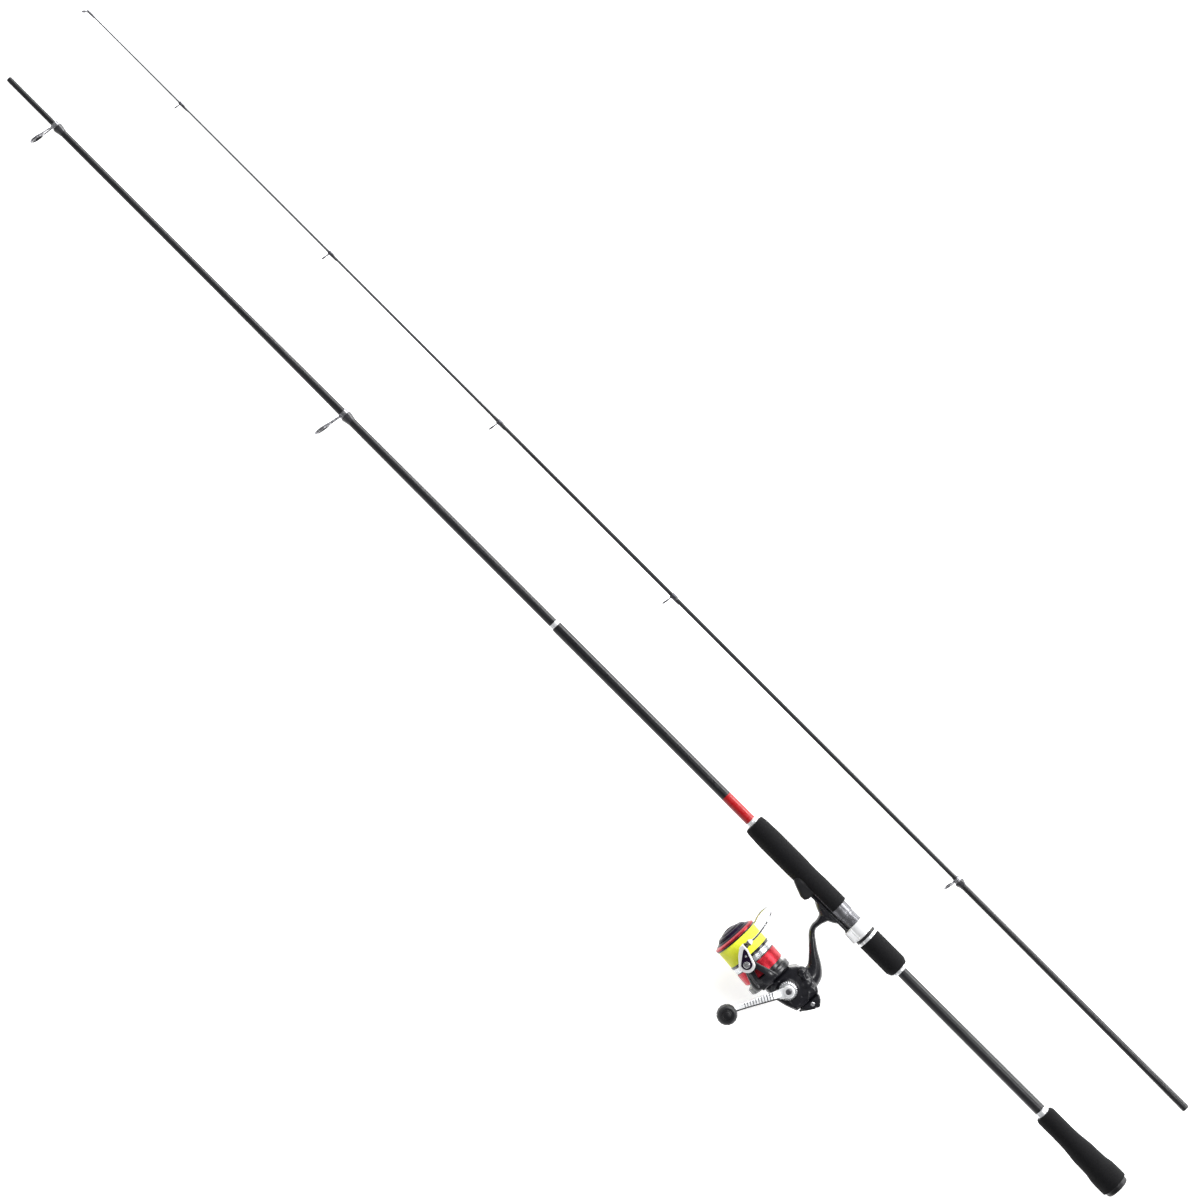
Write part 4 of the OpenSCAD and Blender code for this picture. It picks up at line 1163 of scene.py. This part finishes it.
def spline_rows(rows, steps):
    """Rows of four numbers, made finer with a smooth curve through each column."""
    first = spline([row[:3] for row in rows], steps)
    last = spline([(row[3], 0, 0) for row in rows], steps)
    return [(a.x, a.y, a.z, b.x) for a, b in zip(first, last)]


def rotor():
    cup = lathe([(14.8, 19.3), (14.8, 20.2), (15.8, 22, 1.0), (17.6, 22), (17.9, 21.6), (18.3, 21.6),
                 (18.6, 22), (20.7, 22), (21.5, 21.2), (21.5, 18.5), (42, 18.3), (42, 16.7),
                 (25.8, 16.7), (25.8, 3.6), (22.8, 3.6), (22.8, 17.2), (19.6, 17.2), (19.6, 19.3)], 0.4)
    profile = [(15.7, 9.5, 20.6, 22.2), (16.4, 12.6, 20.2, 23.4), (19, 13.2, 20.6, 24.4),
               (22.5, 12.6, 21.8, 25.0), (27, 11.0, 21.8, 25.3), (33, 8.6, 21.8, 25.4),
               (38, 6.9, 21.8, 25.3), (42, 6.3, 21.9, 25.2), (45.5, 5.0, 22.0, 25.0),
               (47.6, 2.8, 22.2, 24.6), (48.2, 1.2, 22.6, 24.2)]
    arm = curved_plate([tuple(q) for q in spline_rows(profile, 3)])
    boss = upright([(21.9, 0), (21.9, 6.2), (25.2, 6.3, 0.6), (25.9, 5.6, 0.2), (25.9, 0)], 0.3,
                   shifted(PIVOT_X))
    rib = wire([(19, 6.5, 24.4), (27, 5.6, 25.1), (35, 4.6, 25.2)], (0.9, 0.7), 16)
    lobe = wire([(14.9, -6, 20.6), (15.6, 0, 21.6), (14.9, 6, 20.6)], (1.6, 1.2), 16)
    half = [arm, boss, rib, lobe]
    other = [placed(part.copy(), HALF_TURN) for part in half]
    shell = moulded([cup, *half, *other], 0.42, 4)
    window = slab(rounded([(24.4, -6.2), (24.4, 1.8), (33.4, -0.4), (33.4, -3.4)], 1.0), 20, 30, 0.1)
    shell = cut(shell, window, placed(window.copy(), HALF_TURN))
    piece("rotor_casting", shell, ROTOR, "rotor", "reel_black", "rotor")


def bail_screws():
    heads = []
    for turn in (Matrix.Identity(4), HALF_TURN):
        head = upright([(22, 0), (22, 1.95), (28.6, 1.95), (28.6, 3.1), (29.1, 3.1, 0.2),
                        (29.5, 2.4, 0.3), (29.5, 0)], 0.1, around=48)
        slot = block((-3.4, 3.4), (-0.3, 0.3), (29.1, 31), 0.05, 0.02)
        head = cut(head, placed(slot, Matrix.Rotation(math.radians(35), 4, "Z")))
        heads.append(placed(head, turn @ shifted(PIVOT_X)))
    piece("bail_screw_heads", joined(heads), ROTOR, "rotor", "steel", "bail_screws")


def teardrop(r, tail, start, end):
    """Outline round the pivot, from a round end to the corners of a tail."""
    return rounded(arc(r, start, end) + tail, 1.0, steps=6)


def bail_arm():
    """Chrome arm with a black inlay sunk in its outer face, and the axle of the line roller."""
    outline = teardrop(7.6, [(10.0, -9.8, 6), (16.2, -9.7, 1.4), (16.2, -5.4, 1.4), (10.6, 0.9, 12)],
                       66, 232)
    shell = slab(outline, 26.25, 28.4, 0.9, steps=6)
    web = block((10.2, 16), (-9.3, -6.6), (24.2, 27.2), 0.8, 0.5)
    arm = moulded([shell, web], 0.2, 2)
    inlay_tail = [(8.4, -7.9, 3), (12.0, -8.0, 0.9), (11.8, -6.2, 0.9), (7.4, -0.9, 8)]
    inlay_at = shifted(0.3, -0.2)
    pocket = placed(slab(teardrop(5.3, inlay_tail, 62, 235), 27.7, 30, 0.02), inlay_at)
    hole = placed(cylinder(20, 31, 2.06), STAND)
    axle_at = shifted(ROLLER_X - PIVOT_X, 0, ROLLER_Z) @ TO_MINUS_Y
    axle = placed(lathe([(6.5, 0), (6.5, 2.9, 0.8), (9.3, 2.9, 0.3), (9.3, 1.18), (14.6, 1.18),
                         (14.6, 2.65), (15.3, 2.65, 0.3), (17.6, 1.2, 1.2), (18.4, 1.0), (18.4, 0)],
                        0.15, 64), axle_at)
    place = ROTOR @ shifted(PIVOT_X)
    piece("bail_arm_chrome", joined([cut(arm, pocket, hole), axle]), place, "bail", "chrome",
          "bail_arm")
    inlay = placed(slab(teardrop(5.15, inlay_tail, 62, 235), 27.6, 28.15, 0.25, steps=3), inlay_at)
    piece("bail_arm_inlay", cut(inlay, hole.copy()), place, "bail", "drag_gloss")
    stud = upright([(28.0, 0), (28.0, 1.1), (28.4, 1.05, 0.1), (28.6, 0.7, 0.2), (28.6, 0)], 0.1,
                   shifted(6.3, -4.6), 40)
    piece("bail_arm_stud", stud, place, "bail", "steel")


def line_roller():
    outline = [(9.6, 1.26), (9.6, 2.8), (10.3, 2.8), (11.5, 2.15, 0.8), (12.5, 2.15, 0.8), (13.7, 2.8),
               (14.4, 2.8), (14.4, 1.26)]
    place = ROTOR @ shifted(ROLLER_X, 0, ROLLER_Z) @ TO_MINUS_Y
    piece("line_roller_turned", lathe(outline, 0.2, 64), place, "roller", "gear_brass/coated",
          "line_roller")


def bail_lever():
    outline = teardrop(6.2, [(12.0, -10.9, 6), (21.1, -12.3, 1.2), (21.1, -8.2, 1.2), (10.6, -0.4, 12)],
                       66, 235)
    plate = placed(slab(outline, 26.25, 28.15, 0.6), Matrix.Scale(-1, 4, UP))
    lug = placed(lathe([(8.7, 0), (8.7, 1.95, 0.5), (12.4, 1.95, 0.3), (12.4, 0)], 0.2, 48),
                 shifted(19, 0, -25.6) @ TO_MINUS_Y)
    rib = placed(slab(inset(outline, 1.7), 27.9, 28.4, 0.2), Matrix.Scale(-1, 4, UP))
    hole = placed(cylinder(-40, -20, 2.06), STAND)
    lever = cut(moulded([plate, lug, rib], 0.25, 2), hole)
    piece("bail_lever_arm", lever, ROTOR @ shifted(PIVOT_X), "bail", "reel_black", "bail_lever")


def bail_wire():
    """Round wire from the roller's cone, over the spool, to the lever on the far side."""
    points = [(55.4, -17.5, 24.9), (55.4, -20, 24.9), (56, -25.5, 24.8), (57.4, -31.5, 23.8),
              (59, -37.5, 20.5), (60.8, -41.2, 14), (62.4, -42.6, 6), (63.6, -42.6, -2),
              (64.6, -40.8, -10.5), (65.2, -36.3, -18.5), (65.1, -29.5, -23.4), (63.6, -21.5, -25.3),
              (61, -15.2, -25.6), (61, -12.4, -25.6)]
    piece("bail_wire_bent", wire(points, 0.98, 20, 10), ROTOR, "bail", "chrome/wire", "bail_wire")


# ---- spool ----

LINE_REAR, LINE_FRONT, LINE_R = 46.2, 63.4, 20.6


def spool():
    """Black spool, a black rim behind the red lip that is painted shade where the lip meets the line, and a dark
    collar round the drag knob.
    """
    outline = [(24.8, 19.2), (24.8, 20.1), (44.4, 20.1), (44.4, 20.9), (46.2, 20.9, 0.4), (46.2, 14),
               (63.4, 14), (63.4, 12.4), (56.8, 12.4), (56.8, 1.57), (46.6, 1.57), (44.4, 4),
               (54.8, 4), (54.8, 12.4), (44.4, 12.4), (44.4, 19.2)]
    piece("spool_turned", lathe(outline, 0.15, 128), REEL, "spool", "reel_black", "spool")
    lip = [(64.9, 12.4), (64.9, 21.25), (66.0, 21.25, 0.5), (66.5, 20.8, 0.3), (67.7, 18.5, 0.1),
           (67.3, 18.2), (67.3, 15.1), (66, 15.1), (66, 12.4)]
    collar = [(67.3, 15.1), (67.3, 18.1), (67.7, 18.3, 0.1), (69.2, 15.6, 0.3), (69.2, 15.1)]
    # the rim is painted shade: a black ring set where the rear edge of the red lip falls into shadow
    rim = [(63.4, 12.4), (63.4, 20.9, 0.3), (64.0, 21.28, 0.3), (64.6, 21.28), (64.88, 21.0),
           (64.88, 12.4)]
    piece("spool_lip_painted_shade_rim", lathe(rim, 0.15, 128), REEL, "spool", "reel_black")
    piece("spool_lip_collar", lathe(collar, 0.15, 128), REEL, "spool", "drag_gloss")
    piece("spool_lip_turned", lathe(lip, 0.2, 128), REEL, "spool", "red_anodised/lip", "spool_lip")


def skirt():
    band = [(38.6, 20.11), (38.6, 20.6), (39.0, 20.8), (40.0, 20.8), (40.2, 20.5), (40.6, 20.5),
            (40.8, 20.8), (41.5, 20.8), (41.7, 20.5), (42.1, 20.5), (42.3, 20.8), (43.2, 20.8),
            (43.6, 20.6), (43.6, 20.11)]
    piece("skirt_band_turned", lathe(band, 0.1, 128), REEL, "spool", "silver_anodised", "skirt_band")
    ring = [(25.4, 20.11), (25.4, 20.5), (25.9, 20.9), (35.6, 20.9), (35.8, 20.65), (36.2, 20.65),
            (36.4, 20.9), (37.2, 20.9), (37.6, 20.6), (37.6, 20.11)]
    piece("skirt_ring_turned", lathe(ring, 0.12, 128), REEL, "spool", "red_anodised", "skirt_ring")


def line_winding():
    """Close turns of line, a little fuller in the middle, with the slow cross wind of the stroke."""
    pitch = 0.36
    turns = int((LINE_FRONT - LINE_REAR - 0.2) / pitch)
    outline = [(LINE_REAR, 14.02), (LINE_REAR, LINE_R - 0.5)]
    for k in range(turns):
        x = LINE_REAR + 0.1 + k * pitch
        outline += [(x + 0.02, LINE_R - 0.26), (x + 0.18, LINE_R - 0.12)]
    outline += [(LINE_FRONT, LINE_R - 0.5), (LINE_FRONT, 14.02)]

    def cross_wind(a, s, r):
        if r < 20:
            return r
        wave = math.sin(s * 2.1 + 2 * a) + math.sin(s * 1.3 - 3 * a + 1.0)
        edge = min(1.0, (s - LINE_REAR) / 1.5, (LINE_FRONT - s) / 1.5)
        return r + (0.05 * wave + 0.04) * edge

    piece("line_on_spool", lathe(outline, 0, 144, cross_wind), REEL, "spool", "line_yellow",
          "line_winding", sharp=80)


def drag_knob():
    def scallops(a, s, r):
        return r - (0.22 * max(0.0, math.cos(20 * a)) ** 2 if r > 14.2 and s < 70.5 else 0)

    outline = [(73.3, 0), (73.3, 1.58), (65, 1.58), (65, 11.5), (66.7, 11.5), (66.7, 14.7, 0.4),
               (70, 14.7), (71.6, 13.2, 1), (71.9, 12.2), (71.3, 11.6), (71.5, 10.8, 0.3),
               (73.0, 8.6, 3), (74.0, 4.6, 3), (74.2, 0)]
    dome = lathe(outline, 0.2, 240, scallops)
    grip = sweep([(71.6, y, 0) for y in (-9.6, -7, -3.6, 0, 3.6, 7, 9.6)],
                 [(0.7, 1.6), (1.9, 1.9), (2.9, 2.1), (3.3, 2.2), (2.9, 2.1), (1.9, 1.9), (0.7, 1.6)],
                 28, flat=(0, 0, 1))
    piece("drag_knob_cap", joined([dome, grip]), REEL, "drag", "drag_gloss", "drag_knob")


for build in (rotor, bail_screws, bail_arm, line_roller, bail_lever, bail_wire, spool, skirt,
              line_winding, drag_knob):
    build()


# ---- CAD nodes that keep their shape get their finish here ----

def finish_the_rest():
    slots = {s["node"]: s["material_slot"] for s in frame["record"]["subparts"]}
    for name, obj in frame["nodes"].items():
        obj.data.materials.clear()
        obj.data.materials.append(FINISH[slots[name]])


finish_the_rest()
